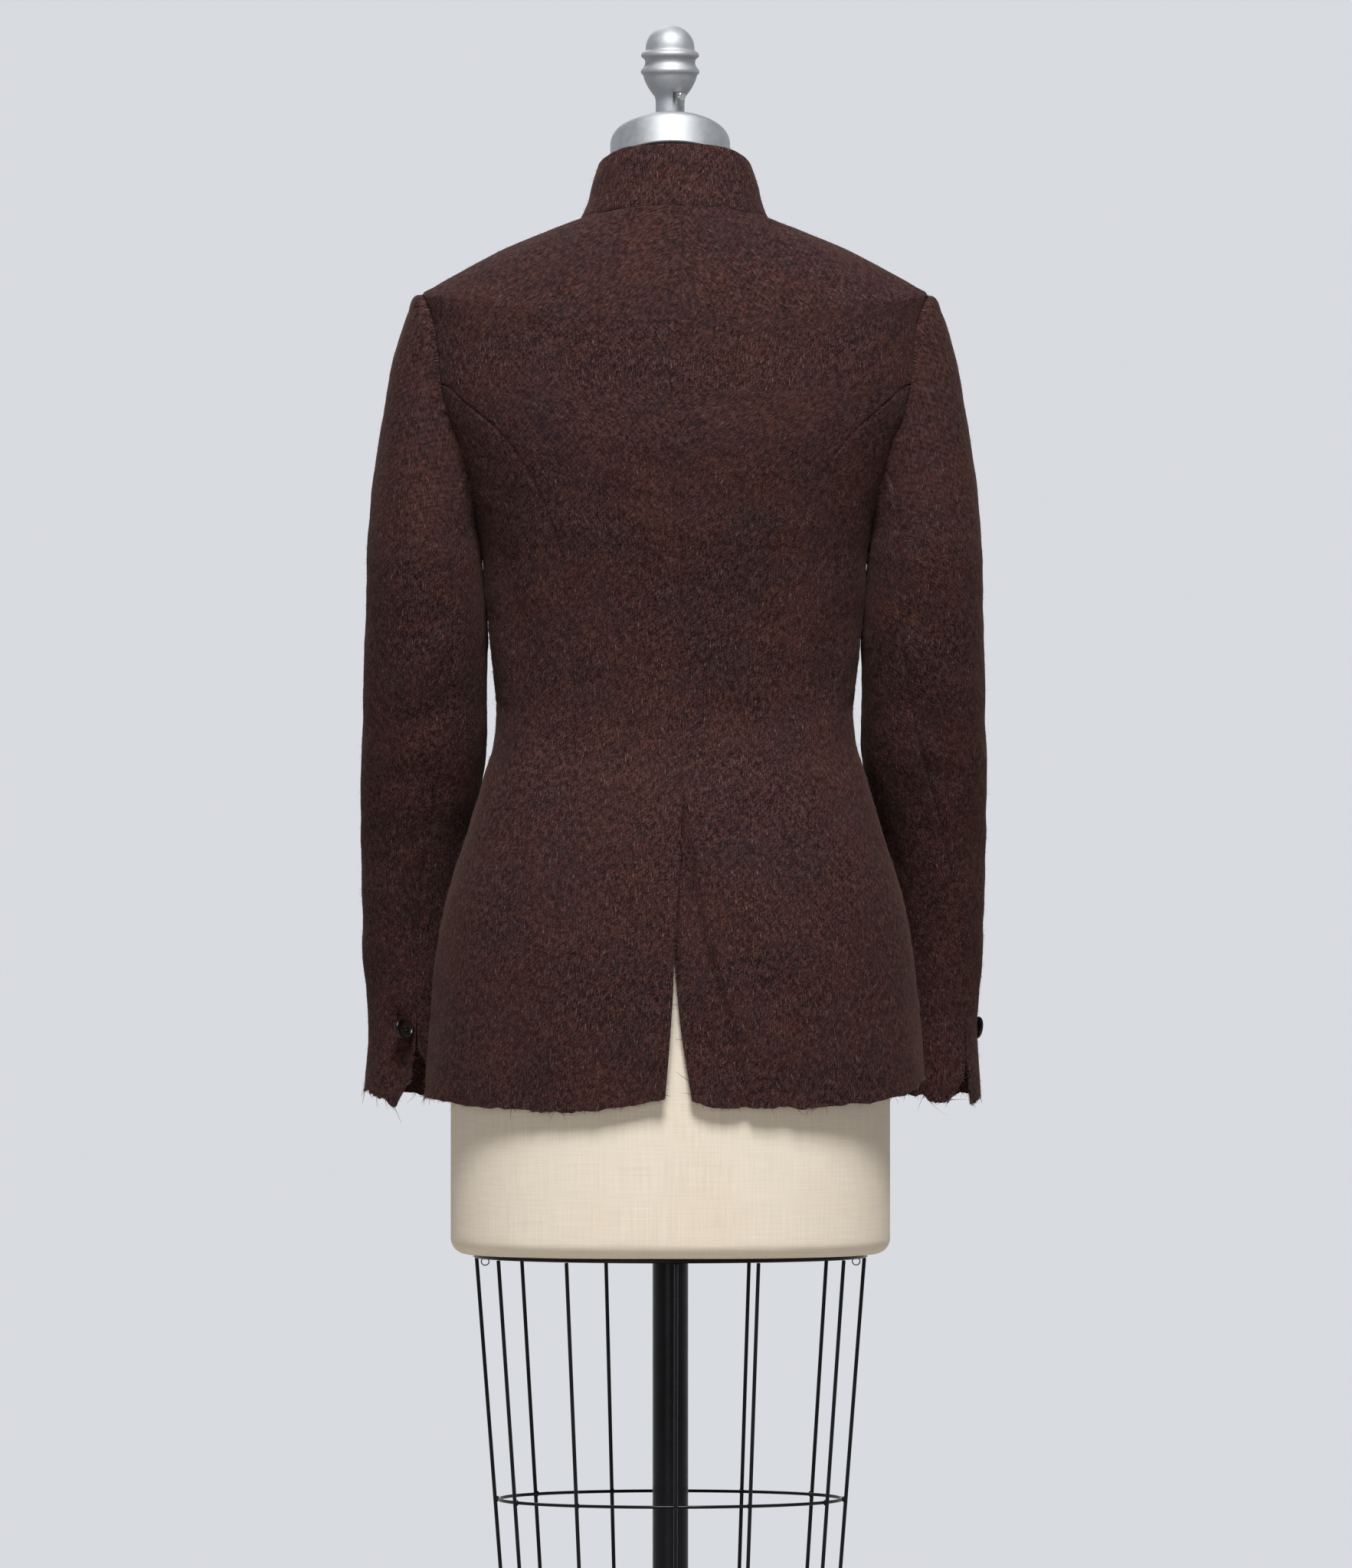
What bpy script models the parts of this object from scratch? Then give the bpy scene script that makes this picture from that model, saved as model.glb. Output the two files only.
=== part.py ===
"""A woman's tweed jacket worn on a limbless dress form, built as the real pieces.

Sizes are in millimetres in the constants and tables, and every mesh is written in metres. +Z is up, the front of
the jacket faces -Y, the wearer's left is +X, and Z = 0 is the floor that the base stands on.
"""

import math
from collections import namedtuple

import bmesh
import bpy
from mathutils import Vector

MM = 0.001
SHARP_ANGLE = math.radians(50)

# Driving sizes of the jacket, in millimetres.
CLOTH = 2.0
SEAM_GAP = 0.6
COLLAR_CLOTH = 2.4
TIP_RUN = 137.0
UNDERARM_RUN = 320.0
HEM_RUN = 764.0
HEM_Z = 731.0
HEM_BLEND = 90.0
VENT_TOP_Z = 950.0
CENTRE_BACK_X = -3.6
FRONT_LAP = 18.0
VENT_STEP = CLOTH + 1.0
FRONT_STEP = CLOTH + 0.6
# A lapped panel sinks behind the other between these distances from the centre, and below these heights.
VENT_LAP_X = (-18.0, -5.0)
VENT_LAP_Z = (VENT_TOP_Z + 3, VENT_TOP_Z + 22)
FRONT_LAP_X = (FRONT_LAP + 2.5, FRONT_LAP + 19)
# Columns of the panels at fixed distances from the centre edge, and how many more fill the rest.
BACK_COLUMNS = ((0, 16, 32), 5)
SIDE_COLUMNS = ((0,), 4)
FRONT_COLUMNS = ((0, 19, 39, 55), 5)
# Millimetres to a degree round the body and round a sleeve, for the folds.
BODY_DEGREE = 2.4
SLEEVE_DEGREE = 0.85
BUTTON_RADIUS = 9.0
BUTTON_THICK = 4.0
FRONT_BUTTONS = 5
FRONT_BUTTON_RUNS = (60.0, 500.0)
BUTTON_CLEAR = 0.7

# Driving sizes of the dress form and its stand, in millimetres.
FORM_EASE = 1.2
FORM_CORNER = 12.0
CAP_TILT = math.radians(22)
STAND_X = 3.5
CAP_CENTRE = (STAND_X, -3.0, 1460.8)
CAP_HALF_WIDTH = 47.0
CAP_HALF_DEPTH = 50.0
CAP_HEIGHT = 25.0
# Rings of the cap: height above its underside, and inset, from the top down.
CAP_PROFILE = (
    (CAP_HEIGHT, 8.0), (CAP_HEIGHT - 0.7, 4.6), (CAP_HEIGHT - 2.4, 2.0), (CAP_HEIGHT - 5.6, 0.3),
    (CAP_HEIGHT - 9, 0.0), (1.0, 0.0), (0.3, 0.7),
)
# Rings of the neck: half-width, half-depth and height above the underside of the cap, along its tilted axis.
NECK_RINGS = ((45.0, 43.0, 0.0), (45.5, 42.5, -12.0), (49.6, 44.8, -30.0))
FORM_COLUMNS = 32
CAP_COLUMNS = 32
PLATE_COLUMNS = 40
FRONT_EASE = 5.3
BACK_EASE = 1.6
FINIAL_CENTRE = (STAND_X, -12.5)
SCREW_ANGLE = 128.0
SCREW_Z = 1513.5
SCREW_START = 14.7
SCREW_LENGTH = 4.5
SCREW_RADIUS = 3.0
PLATE_HALF_WIDTH = 154.5
PLATE_HALF_DEPTH = 110.5
PLATE_TOP = 607.3
PLATE_BOTTOM = 604.3
CAGE_TOP = (152.0, 108.0)
CAGE_BOTTOM = (122.0, 92.0)
RING_COLUMNS = 32
POLE_RADIUS = 14.0
WIRE_RADIUS = 1.5
RING_WIRE_RADIUS = 1.3
UPPER_RING_Z = 415.0
LOWER_RING_Z = 215.0
BASE_RADIUS = 200.0
BASE_THICK = 14.0
HUB_RADIUS = 34.0
HUB_HEIGHT = 46.0
FIT_GAP = 0.3

# One row for each level of the jacket's body. run is the way down from the neck point, along the shoulder and then
# down the side. side_z, back_z and front_z are the heights of that level at the side, centre back and centre front.
Level = namedtuple("Level", "run side_z back_z front_z half_width back front power")
JACKET_LEVELS = (
    Level(0, 1417, 1426, 1374, 74.7, 62, 72, 2.00),
    Level(23, 1409, 1414, 1363, 96.0, 67, 77, 2.05),
    Level(63, 1394, 1393, 1346, 133.0, 76, 82, 2.15),
    Level(96, 1379, 1372, 1330, 162.6, 84, 86, 2.25),
    Level(126, 1364, 1348, 1313, 189.0, 90, 90, 2.35),
    Level(137, 1358, 1339, 1306, 198.0, 92, 92, 2.40),
    Level(165, 1330, 1314, 1284, 196.5, 96, 98, 2.40),
    Level(195, 1300, 1288, 1262, 195.0, 99, 104, 2.40),
    Level(225, 1270, 1263, 1240, 189.5, 102, 110, 2.40),
    Level(249, 1246, 1243, 1224, 179.5, 103, 115, 2.40),
    Level(275, 1220, 1220, 1206, 170.0, 101, 119, 2.35),
    Level(299, 1196, 1196, 1189, 161.5, 98, 121, 2.30),
    Level(320, 1175, 1175, 1171, 155.0, 96, 120, 2.25),
    Level(347, 1148, 1148, 1146, 150.5, 91, 116, 2.20),
    Level(375, 1120, 1120, 1119, 149.0, 86, 110, 2.20),
    Level(391, 1104, 1104, 1104, 146.5, 84, 106, 2.20),
    Level(416, 1079, 1079, 1079, 144.6, 81, 100, 2.20),
    Level(446, 1049, 1049, 1049, 141.3, 78, 94, 2.20),
    Level(461, 1034, 1034, 1034, 139.8, 78, 92, 2.20),
    Level(476, 1019, 1019, 1019, 140.4, 79, 92, 2.20),
    Level(491, 1004, 1004, 1004, 142.5, 82, 93, 2.20),
    Level(508, 987, 987, 987, 147.9, 88, 96, 2.20),
    Level(530, 965, 965, 965, 154.2, 97, 100, 2.20),
    Level(564, 931, 931, 931, 164.4, 108, 105, 2.20),
    Level(596, 899, 899, 899, 175.0, 116, 110, 2.20),
    Level(622, 873, 873, 873, 181.8, 121, 113, 2.20),
    Level(656, 839, 839, 839, 187.2, 126, 116, 2.20),
    Level(711, 784, 784, 784, 192.3, 129, 118, 2.20),
    Level(764, 731, 731, 731, 196.0, 130, 118, 2.20),
)

# The dress form below the shoulders, where the cloth hangs clear of it.
FORM_LEVELS = (
    Level(137, 1340, 1331, 1300, 176.0, 88, 84, 2.30),
    Level(165, 1318, 1308, 1280, 172.0, 91, 90, 2.30),
    Level(195, 1290, 1283, 1258, 164.0, 93, 97, 2.25),
    Level(249, 1240, 1238, 1220, 152.0, 95, 107, 2.20),
    Level(299, 1194, 1194, 1187, 145.0, 91, 113, 2.20),
    Level(347, 1148, 1148, 1146, 140.0, 83, 107, 2.20),
    Level(416, 1079, 1079, 1079, 133.0, 72, 90, 2.20),
    Level(461, 1034, 1034, 1034, 129.0, 69, 83, 2.20),
    Level(508, 987, 987, 987, 136.0, 77, 87, 2.20),
    Level(564, 931, 931, 931, 153.0, 97, 96, 2.20),
    Level(622, 873, 873, 873, 166.0, 110, 104, 2.20),
    Level(711, 784, 784, 784, 171.5, 118, 110, 2.25),
    Level(764, 731, 731, 731, 172.0, 120, 112, 2.25),
    Level(876, 619.6, 619.6, 619.6, 172.0, 120, 112, 2.25),
)

# The armhole: how far round from the side line its back and front edges lie, at each level of the body.
ArmEdge = namedtuple("ArmEdge", "run back_angle front_angle")
ARMHOLE = (
    ArmEdge(137, 0.0, 0.0),
    ArmEdge(140, 8.0, 8.5),
    ArmEdge(147, 13.5, 14.5),
    ArmEdge(160, 17.5, 20.0),
    ArmEdge(178, 19.5, 23.0),
    ArmEdge(204, 20.0, 24.0),
    ArmEdge(207, 20.0, 24.0),
    ArmEdge(225, 20.0, 24.5),
    ArmEdge(249, 19.5, 24.0),
    ArmEdge(275, 17.5, 22.0),
    ArmEdge(296, 14.0, 18.0),
    ArmEdge(311, 9.0, 11.5),
    ArmEdge(318, 4.5, 6.0),
    ArmEdge(320, 0.0, 0.0),
)
SIDE_PANEL_TOP = 6
TIP_Z, UNDERARM_Z = (level.side_z for level in JACKET_LEVELS if level.run in (TIP_RUN, UNDERARM_RUN))
ARMHOLE_MIDDLE = (TIP_Z + UNDERARM_Z) / 2

# Levels at which the panels have a row: over the shoulder, at each level of the armhole, and below it.
SHOULDER_RUNS = [0, 25, 58, 95, 122]
BODY_RUNS = (
    SHOULDER_RUNS
    + [edge.run for edge in ARMHOLE]
    + [350, 385, 420, 461, 495, 522, 543, 558, 592, 630, 672, 718, HEM_RUN]
)
SIDE_RUNS = [run for run in BODY_RUNS if run >= ARMHOLE[SIDE_PANEL_TOP].run]

# The back princess seam, as its distance from the centre at each height.
Seam = namedtuple("Seam", "z x")
PRINCESS = (
    Seam(1288, 179), Seam(1271, 160), Seam(1252, 140), Seam(1228, 122), Seam(1190, 103), Seam(1150, 90),
    Seam(1079, 84), Seam(1031, 80), Seam(965, 84), Seam(900, 92), Seam(830, 98), Seam(700, 104),
)

# Height of the hem round the body: 0 is the wearer's left side, 90 the centre back, 270 the centre front.
HemPoint = namedtuple("HemPoint", "angle z")
HEM = (
    HemPoint(0, 731), HemPoint(25, 728), HemPoint(50, 723), HemPoint(65, 721.6), HemPoint(80, 725.5),
    HemPoint(88, 731.5), HemPoint(92, 730), HemPoint(98, 725), HemPoint(118, 725), HemPoint(134, 727.5),
    HemPoint(150, 732), HemPoint(164, 739), HemPoint(180, 746), HemPoint(200, 738), HemPoint(222, 730),
    HemPoint(270, 722), HemPoint(320, 726), HemPoint(360, 731),
)

# Edges of the open vent: how far the two panels' edges stand from the centre line, at each height.
VentEdge = namedtuple("VentEdge", "z left_x right_x")
VENT = (
    VentEdge(960, -3.3, -3.9), VentEdge(950, -3.3, -3.9), VentEdge(938, -2.8, 12.1), VentEdge(900, -1.0, 9.9),
    VentEdge(838, 2.8, 1.8), VentEdge(790, 5.7, -2.5), VentEdge(731, 12.0, -9.0), VentEdge(700, 14.0, -11.0),
)

# The largest folds of the body: a line from one angle and height to another, its width and how deep it goes.
Fold = namedtuple("Fold", "from_angle from_z to_angle to_z width depth")
BODY_FOLDS = (
    Fold(91, 940, 110, 790, 17, 3.4),
    Fold(97, 925, 118, 800, 20, -2.2),
    Fold(28, 1165, 34, 1060, 18, 3.0),
    Fold(150, 1115, 145, 1030, 18, 3.0),
    Fold(66, 1015, 52, 985, 20, 1.6),
    Fold(95, 1034, 128, 1026, 13, 1.6),
    Fold(42, 890, 36, 760, 26, 2.4),
    Fold(62, 850, 60, 745, 22, -2.0),
    Fold(140, 880, 147, 765, 26, 2.4),
    Fold(215, 900, 205, 750, 28, 2.6),
    Fold(325, 900, 335, 750, 28, 2.6),
    Fold(300, 1240, 318, 1150, 22, 2.0),
    Fold(240, 1240, 222, 1150, 22, 2.0),
)

# The sleeve below the armhole: a ring at each height, with its centre, half-width and half-depth.
SleeveRing = namedtuple("SleeveRing", "z centre_x centre_y half_width half_depth")
SLEEVE_RINGS = (
    SleeveRing(1150, 198.1, -2, 43.3, 54.0),
    SleeveRing(1104, 196.4, -9, 45.8, 53.0),
    SleeveRing(1049, 197.0, -21, 47.2, 51.0),
    SleeveRing(1000, 199.2, -35, 46.8, 49.0),
    SleeveRing(965, 201.8, -47, 44.6, 48.0),
    SleeveRing(929, 204.2, -60, 42.2, 46.5),
    SleeveRing(880, 206.7, -74, 39.4, 45.0),
    SleeveRing(839, 207.0, -84, 38.5, 44.0),
    SleeveRing(809, 205.6, -89, 36.8, 43.0),
    SleeveRing(779, 204.8, -92, 36.4, 42.0),
    SleeveRing(749, 205.6, -94, 37.2, 42.5),
    SleeveRing(727, 206.2, -95, 38.0, 43.5),
)
FIRST_RING_Z = SLEEVE_RINGS[0].z
CUFF_Z = SLEEVE_RINGS[-1].z
# Rows of a sleeve: shares of the way down its cap, then heights.
CAP_SHARES = (0.0, 0.015, 0.05, 0.13, 0.27, 0.46, 0.70, 1.0)
SLEEVE_HEIGHTS = (1110, 1070, 1030, 990, 948, 904, 858, 815, 785, 756, CUFF_Z)
# The outer line of the sleeve cap: its share of the way out at each share of the way down.
CapStep = namedtuple("CapStep", "down out")
CAP_LINE = (
    CapStep(0.0, 0.0), CapStep(0.015, 0.10), CapStep(0.05, 0.235), CapStep(0.12, 0.365), CapStep(0.19, 0.46),
    CapStep(0.26, 0.55), CapStep(0.40, 0.665), CapStep(0.55, 0.785), CapStep(0.76, 0.92), CapStep(1.0, 1.0),
)
SLEEVE_FOLDS = (
    Fold(118, 1120, 62, 1075, 13, 2.0),
    Fold(130, 1050, 70, 1015, 14, 2.4),
    Fold(60, 985, 120, 960, 16, 1.8),
    Fold(-60, 1060, -120, 1085, 14, 2.2),
    Fold(-70, 1000, -128, 1020, 14, 2.2),
    Fold(20, 940, 60, 900, 18, 1.6),
)
# The sleeve seams lie at these levels of the armhole, and turn round the arm on the way down to the cuff.
BACK_SEAM_RUN = 275
FRONT_SEAM_RUN = 296
SEAM_TWIST = {1: 28.0, -1: 78.0}
# The open cuff vent: how far each edge stands back from the seam at each height.
CuffEdge = namedtuple("CuffEdge", "z upper under")
CUFF_VENT = (
    CuffEdge(900, 0.3, 0.3), CuffEdge(800, 0.3, 0.3), CuffEdge(775, 0.5, 1.0), CuffEdge(752, 1.2, 4.0),
    CuffEdge(727, 2.5, 20.0),
)
# The cap starts this far off the armhole, and its roped edge stands up over this share of its way down.
ARMHOLE_GAP = 0.5
ROPE = 4.0
ROPE_SHARE = 0.06
CAP_ROUNDNESS = 2.2
ARM_Y = -3.0
# Cuff buttons: angle round the sleeve and height, on the wearer's left and right.
CUFF_BUTTON_ANGLE = {1: 78.0, -1: -22.0}
CUFF_BUTTON_Z = 782.0

# The stand collar: a ring at each share of its height.
CollarRing = namedtuple("CollarRing", "share side_z back_z front_z half_width back front centre_y")
COLLAR_RINGS = (
    CollarRing(0.00, 1417.8, 1426.8, 1374.8, 74.5, 61.8, 71.8, 0),
    CollarRing(0.16, 1423.0, 1434.0, 1380.5, 70.8, 60.2, 70.4, -1.5),
    CollarRing(0.38, 1431.5, 1446.0, 1388.0, 67.6, 59.6, 68.2, -5.0),
    CollarRing(0.62, 1442.0, 1459.0, 1396.0, 65.6, 59.2, 65.6, -8.5),
    CollarRing(0.84, 1450.0, 1470.5, 1403.0, 63.0, 57.8, 63.2, -11.0),
    CollarRing(1.00, 1455.5, 1477.6, 1408.0, 60.4, 55.8, 61.0, -12.5),
)
COLLAR_OPENING = 3.2
COLLAR_COLUMNS = 26

# The finial, turned: radius at each height.
Turn = namedtuple("Turn", "radius z")
FINIAL = (
    Turn(0.0, 1570.0), Turn(8.5, 1568.6), Turn(15.4, 1562.2), Turn(18.5, 1554.8), Turn(19.2, 1550.2),
    Turn(21.6, 1548.6), Turn(22.8, 1546.4), Turn(21.6, 1544.4), Turn(20.0, 1542.8), Turn(19.8, 1539.9),
    Turn(21.8, 1535.8), Turn(23.0, 1533.4), Turn(21.8, 1531.2), Turn(20.6, 1529.4), Turn(18.7, 1525.0),
    Turn(14.9, 1517.5), Turn(11.9, 1513.6), Turn(11.3, 1508.0), Turn(11.3, 1489.4), Turn(0.0, 1489.4),
)

# The cage wires: angle round the plate, 0 at the wearer's left and 90 at the back.
CAGE_WIRE_ANGLES = (-3, 27.5, 57.3, 91, 116, 152, 177, 215, 245, 269, 289, 320)


def clear_scene():
    """Removes whatever the scene holds."""
    for item in list(bpy.data.objects):
        bpy.data.objects.remove(item, do_unlink=True)


def make_material(name, colour, roughness, metallic=0.0):
    """A plain material of one colour."""
    material = bpy.data.materials.new(name)
    material.use_nodes = True
    shader = material.node_tree.nodes["Principled BSDF"]
    shader.inputs["Base Color"].default_value = (*colour, 1.0)
    shader.inputs["Roughness"].default_value = roughness
    shader.inputs["Metallic"].default_value = metallic
    return material


def tweed():
    return make_material("tweed", (0.042, 0.022, 0.019), 0.95)


def linen():
    return make_material("linen", (0.70, 0.64, 0.54), 0.90)


def cast_aluminium():
    return make_material("cast_aluminium", (0.62, 0.63, 0.65), 0.42, 1.0)


def black_enamel():
    return make_material("black_enamel", (0.010, 0.011, 0.014), 0.25)


def button_horn():
    return make_material("button_horn", (0.012, 0.009, 0.009), 0.25)


def new_object(name, points, faces, material):
    """A mesh object from points in millimetres."""
    mesh = bpy.data.meshes.new(name)
    mesh.from_pydata([Vector(point) * MM for point in points], [], faces)
    mesh.materials.append(material)
    mesh.shade_smooth()
    mesh.set_sharp_from_angle(angle=SHARP_ANGLE)
    item = bpy.data.objects.new(name, mesh)
    bpy.context.scene.collection.objects.link(item)
    return item


def slope(x0, y0, x1, y1, x2, y2):
    """Slope of a curve at its middle point, flat at a turning point so that the curve never overshoots."""
    before = (y1 - y0) / (x1 - x0)
    after = (y2 - y1) / (x2 - x1)
    if before * after <= 0:
        return 0.0
    return 2 * before * after / (before + after)


def read_curve(table, key, value, at):
    """Smooth reading of one column of a table at a value of its key column."""
    rows = sorted(table, key=lambda row: getattr(row, key))
    xs = [getattr(row, key) for row in rows]
    ys = [getattr(row, value) for row in rows]
    if at <= xs[0]:
        return ys[0]
    if at >= xs[-1]:
        return ys[-1]
    i = max(n for n in range(len(xs) - 1) if xs[n] <= at)
    width = xs[i + 1] - xs[i]
    straight = (ys[i + 1] - ys[i]) / width
    left = slope(xs[i - 1], ys[i - 1], xs[i], ys[i], xs[i + 1], ys[i + 1]) if i > 0 else straight
    last = i + 2 >= len(xs)
    right = straight if last else slope(xs[i], ys[i], xs[i + 1], ys[i + 1], xs[i + 2], ys[i + 2])
    t = (at - xs[i]) / width
    return (
        ys[i] * (1 + 2 * t) * (1 - t) ** 2
        + ys[i + 1] * t * t * (3 - 2 * t)
        + width * (left * t * (1 - t) ** 2 - right * t * t * (1 - t))
    )


def level_at(table, run):
    """The level at any run, read smoothly between the table's rows."""
    return Level(run, *(read_curve(table, "run", column, run) for column in Level._fields[1:]))


def signed_power(value, power):
    """A power that keeps the sign of its value."""
    return math.copysign(abs(value) ** power, value)


def ring_point(level, angle, centre_y=0.0, tilt_power=1.5):
    """Point of one level at an angle in degrees: 0 the wearer's left, 90 the centre back, 270 the front."""
    across = math.cos(math.radians(angle))
    along = math.sin(math.radians(angle))
    x = level.half_width * signed_power(across, 2 / level.power)
    y = (level.back if along > 0 else level.front) * signed_power(along, 2 / level.power) + centre_y
    rise = (level.back_z if along > 0 else level.front_z) - level.side_z
    return Vector((x, y, level.side_z + rise * abs(along) ** tilt_power))


def smooth_step(value, low, high):
    """0 below low, 1 above high, and a smooth rise between them."""
    t = min(1.0, max(0.0, (value - low) / (high - low)))
    return t * t * (3 - 2 * t)


def fold_depth(folds, angle, z, size):
    """How far the folds press the surface in here. size turns degrees into millimetres round the piece."""
    depth = 0.0
    for fold in folds:
        ax, az = fold.from_angle * size, fold.from_z
        bx, bz = fold.to_angle * size, fold.to_z
        px, pz = angle * size, z
        length = math.hypot(bx - ax, bz - az)
        share = ((px - ax) * (bx - ax) + (pz - az) * (bz - az)) / length**2
        near = min(1.15, max(-0.15, share))
        away = math.hypot(px - ax - near * (bx - ax), pz - az - near * (bz - az))
        fade = smooth_step(near, -0.15, 0.35) * (1 - smooth_step(near, 0.65, 1.15))
        depth += fold.depth * fade * math.exp(-((away / fold.width) ** 2))
    return depth


def plain_body_point(angle, run):
    """The jacket's surface before its folds. Below the last level the hem's own heights take over."""
    level = level_at(JACKET_LEVELS, run)
    point = ring_point(level, angle)
    if run > HEM_RUN - HEM_BLEND:
        share = (run - (HEM_RUN - HEM_BLEND)) / HEM_BLEND
        point.z += (read_curve(HEM, "angle", "z", angle % 360) - HEM_Z) * share
    return point


def outward(surface, angle, run):
    """Unit vector out of a surface of angle and run."""
    round_it = surface(angle + 1.5, run) - surface(angle - 1.5, run)
    down = surface(angle, min(run + 3, HEM_RUN)) - surface(angle, max(run - 3, 0))
    return down.cross(round_it).normalized()


def body_point(angle, run):
    """The outer surface of the jacket's body, and the unit vector out of it."""
    point = plain_body_point(angle, run)
    normal = outward(plain_body_point, angle, run)
    return point - normal * fold_depth(BODY_FOLDS, angle % 360, point.z, BODY_DEGREE), normal


def angle_at_x(run, x, front=False):
    """The angle at which one level reaches a distance x from the centre plane."""
    level = level_at(JACKET_LEVELS, run)
    across = signed_power(min(1.0, abs(x) / level.half_width), level.power / 2)
    angle = math.degrees(math.acos(across if x > 0 else -across))
    return 360 - angle if front else angle


def wall(name, outer, inner, material, closed=False):
    """A cloth wall between two grids of points, rows by columns, closed along all its edges."""
    rows, columns = len(outer), len(outer[0])
    points = [p for row in outer for p in row] + [p for row in inner for p in row]
    offset = rows * columns

    def at(side, row, column):
        return side * offset + row * columns + column % columns

    faces = []
    spans = columns if closed else columns - 1
    for row in range(rows - 1):
        for column in range(spans):
            for side in (0, 1):
                quad = [at(side, row, column), at(side, row + 1, column),
                        at(side, row + 1, column + 1), at(side, row, column + 1)]
                faces.append(quad if side == 0 else quad[::-1])
    rim = []
    for column in range(spans):
        rim.append(((0, column + 1), (0, column)))
        rim.append(((rows - 1, column), (rows - 1, column + 1)))
    if not closed:
        for row in range(rows - 1):
            rim.append(((row, 0), (row + 1, 0)))
            rim.append(((row + 1, columns - 1), (row, columns - 1)))
    for (row_a, column_a), (row_b, column_b) in rim:
        a, b = (row_a, column_a), (row_b, column_b)
        faces.append([at(0, *b), at(0, *a), at(1, *a), at(1, *b)])
    return new_object(name, points, faces, material)


def column_angles(run, centre, edge, spaced, columns):
    """Angles of a panel's columns from its centre edge: some at fixed distances in millimetres, the rest even."""
    way = 1 if edge > centre else -1
    near = [centre + way * degrees_for(run, centre, distance) for distance in spaced]
    rest = [near[-1] + (edge - near[-1]) * n / columns for n in range(1, columns + 1)]
    return sorted(near + rest)


def body_panel(name, runs, edges, spaced, columns, lap=None):
    """A panel of the body. edges gives its two edges' angles at a run, and lap how far a point is sunk."""
    outer, inner = [], []
    for run in runs:
        centre, edge = edges(run)
        outer_row, inner_row = [], []
        for angle in column_angles(run, centre, edge, spaced, columns):
            point, normal = body_point(angle, run)
            sunk = lap(point) if lap else 0.0
            outer_row.append(point - normal * sunk)
            inner_row.append(point - normal * (sunk + CLOTH))
        outer.append(outer_row)
        inner.append(inner_row)
    return wall(name, outer, inner, tweed())


def degrees_for(run, angle, distance):
    """How many degrees make up a distance round the body there."""
    step = plain_body_point(angle + 0.5, run) - plain_body_point(angle - 0.5, run)
    return distance / step.length


def side_angle(run, side, front):
    """Angle of a panel's edge at the shoulder seam, the armhole or the side seam, half a gap off the seam."""
    if run <= TIP_RUN or run >= UNDERARM_RUN:
        swing = 0.0
    else:
        swing = read_curve(ARMHOLE, "run", "front_angle" if front else "back_angle", run)
    gap = 0.0
    if run < TIP_RUN or run > UNDERARM_RUN or swing == 0.0:
        gap = degrees_for(run, 0.0, SEAM_GAP / 2)
    turn = swing + gap
    if side > 0:
        return 360 - turn if front else turn
    return 180 + turn if front else 180 - turn


def princess_angle(run, side):
    """Angle of the back princess seam at a run."""
    z = level_at(JACKET_LEVELS, run).side_z
    return angle_at_x(run, side * read_curve(PRINCESS, "z", "x", z))


def back_edges(side):
    """Centre back to princess seam, or to the armhole and shoulder above it."""
    def edges(run):
        z = level_at(JACKET_LEVELS, run).back_z
        x = CENTRE_BACK_X + side * SEAM_GAP / 2
        if z < VENT_TOP_Z:
            x = read_curve(VENT, "z", "left_x" if side > 0 else "right_x", z)
        centre = angle_at_x(run, x)
        if run < ARMHOLE[SIDE_PANEL_TOP].run:
            return centre, side_angle(run, side, front=False)
        angle = princess_angle(run, side)
        return centre, angle + side * degrees_for(run, angle, SEAM_GAP / 2)
    return edges


def side_edges(side):
    """Princess seam to armhole and side seam."""
    def edges(run):
        angle = princess_angle(run, side)
        return angle - side * degrees_for(run, angle, SEAM_GAP / 2), side_angle(run, side, front=False)
    return edges


def front_edges(side):
    """The lapped centre front to the side seam and armhole."""
    def edges(run):
        return 270 - side * degrees_for(run, 270, FRONT_LAP), side_angle(run, side, front=True)
    return edges


def vent_lap(point):
    """The right back is sunk behind the left one along the vent."""
    return (
        VENT_STEP
        * smooth_step(point.x, *VENT_LAP_X)
        * (1 - smooth_step(point.z, *VENT_LAP_Z))
    )


def front_lap(point):
    """The left front is sunk behind the right one along the centre front."""
    return FRONT_STEP * (1 - smooth_step(point.x, *FRONT_LAP_X))


def make_body():
    """The six panels of the jacket's body."""
    for side, word in ((1, "left"), (-1, "right")):
        vent, front = (None, front_lap) if side > 0 else (vent_lap, None)
        body_panel(f"back_{word}", BODY_RUNS, back_edges(side), *BACK_COLUMNS, vent)
        body_panel(f"side_back_{word}", SIDE_RUNS, side_edges(side), *SIDE_COLUMNS)
        body_panel(f"front_{word}", BODY_RUNS, front_edges(side), *FRONT_COLUMNS, front)


def armhole_point(run, side, front):
    """Edge of the armhole, where the sleeve is set in, on the wearer's left or right."""
    return body_point(side_angle(run, side, front), run)[0]


def sleeve_columns():
    """The sleeve's columns, one for each level of the armhole: (run, front), from the tip down the back and up."""
    runs = [edge.run for edge in ARMHOLE]
    back = [(run, False) for run in runs]
    return back + [(run, True) for run in runs[-2:0:-1]]


def column_angle(run, front):
    """Angle round the sleeve of a column: 0 the outer line, 90 the back, 180 the inner line."""
    z = level_at(JACKET_LEVELS, run).side_z
    share = min(1.0, max(-1.0, 2 * (z - ARMHOLE_MIDDLE) / (TIP_Z - UNDERARM_Z)))
    angle = math.degrees(math.acos(share))
    return -angle if front else angle


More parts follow.
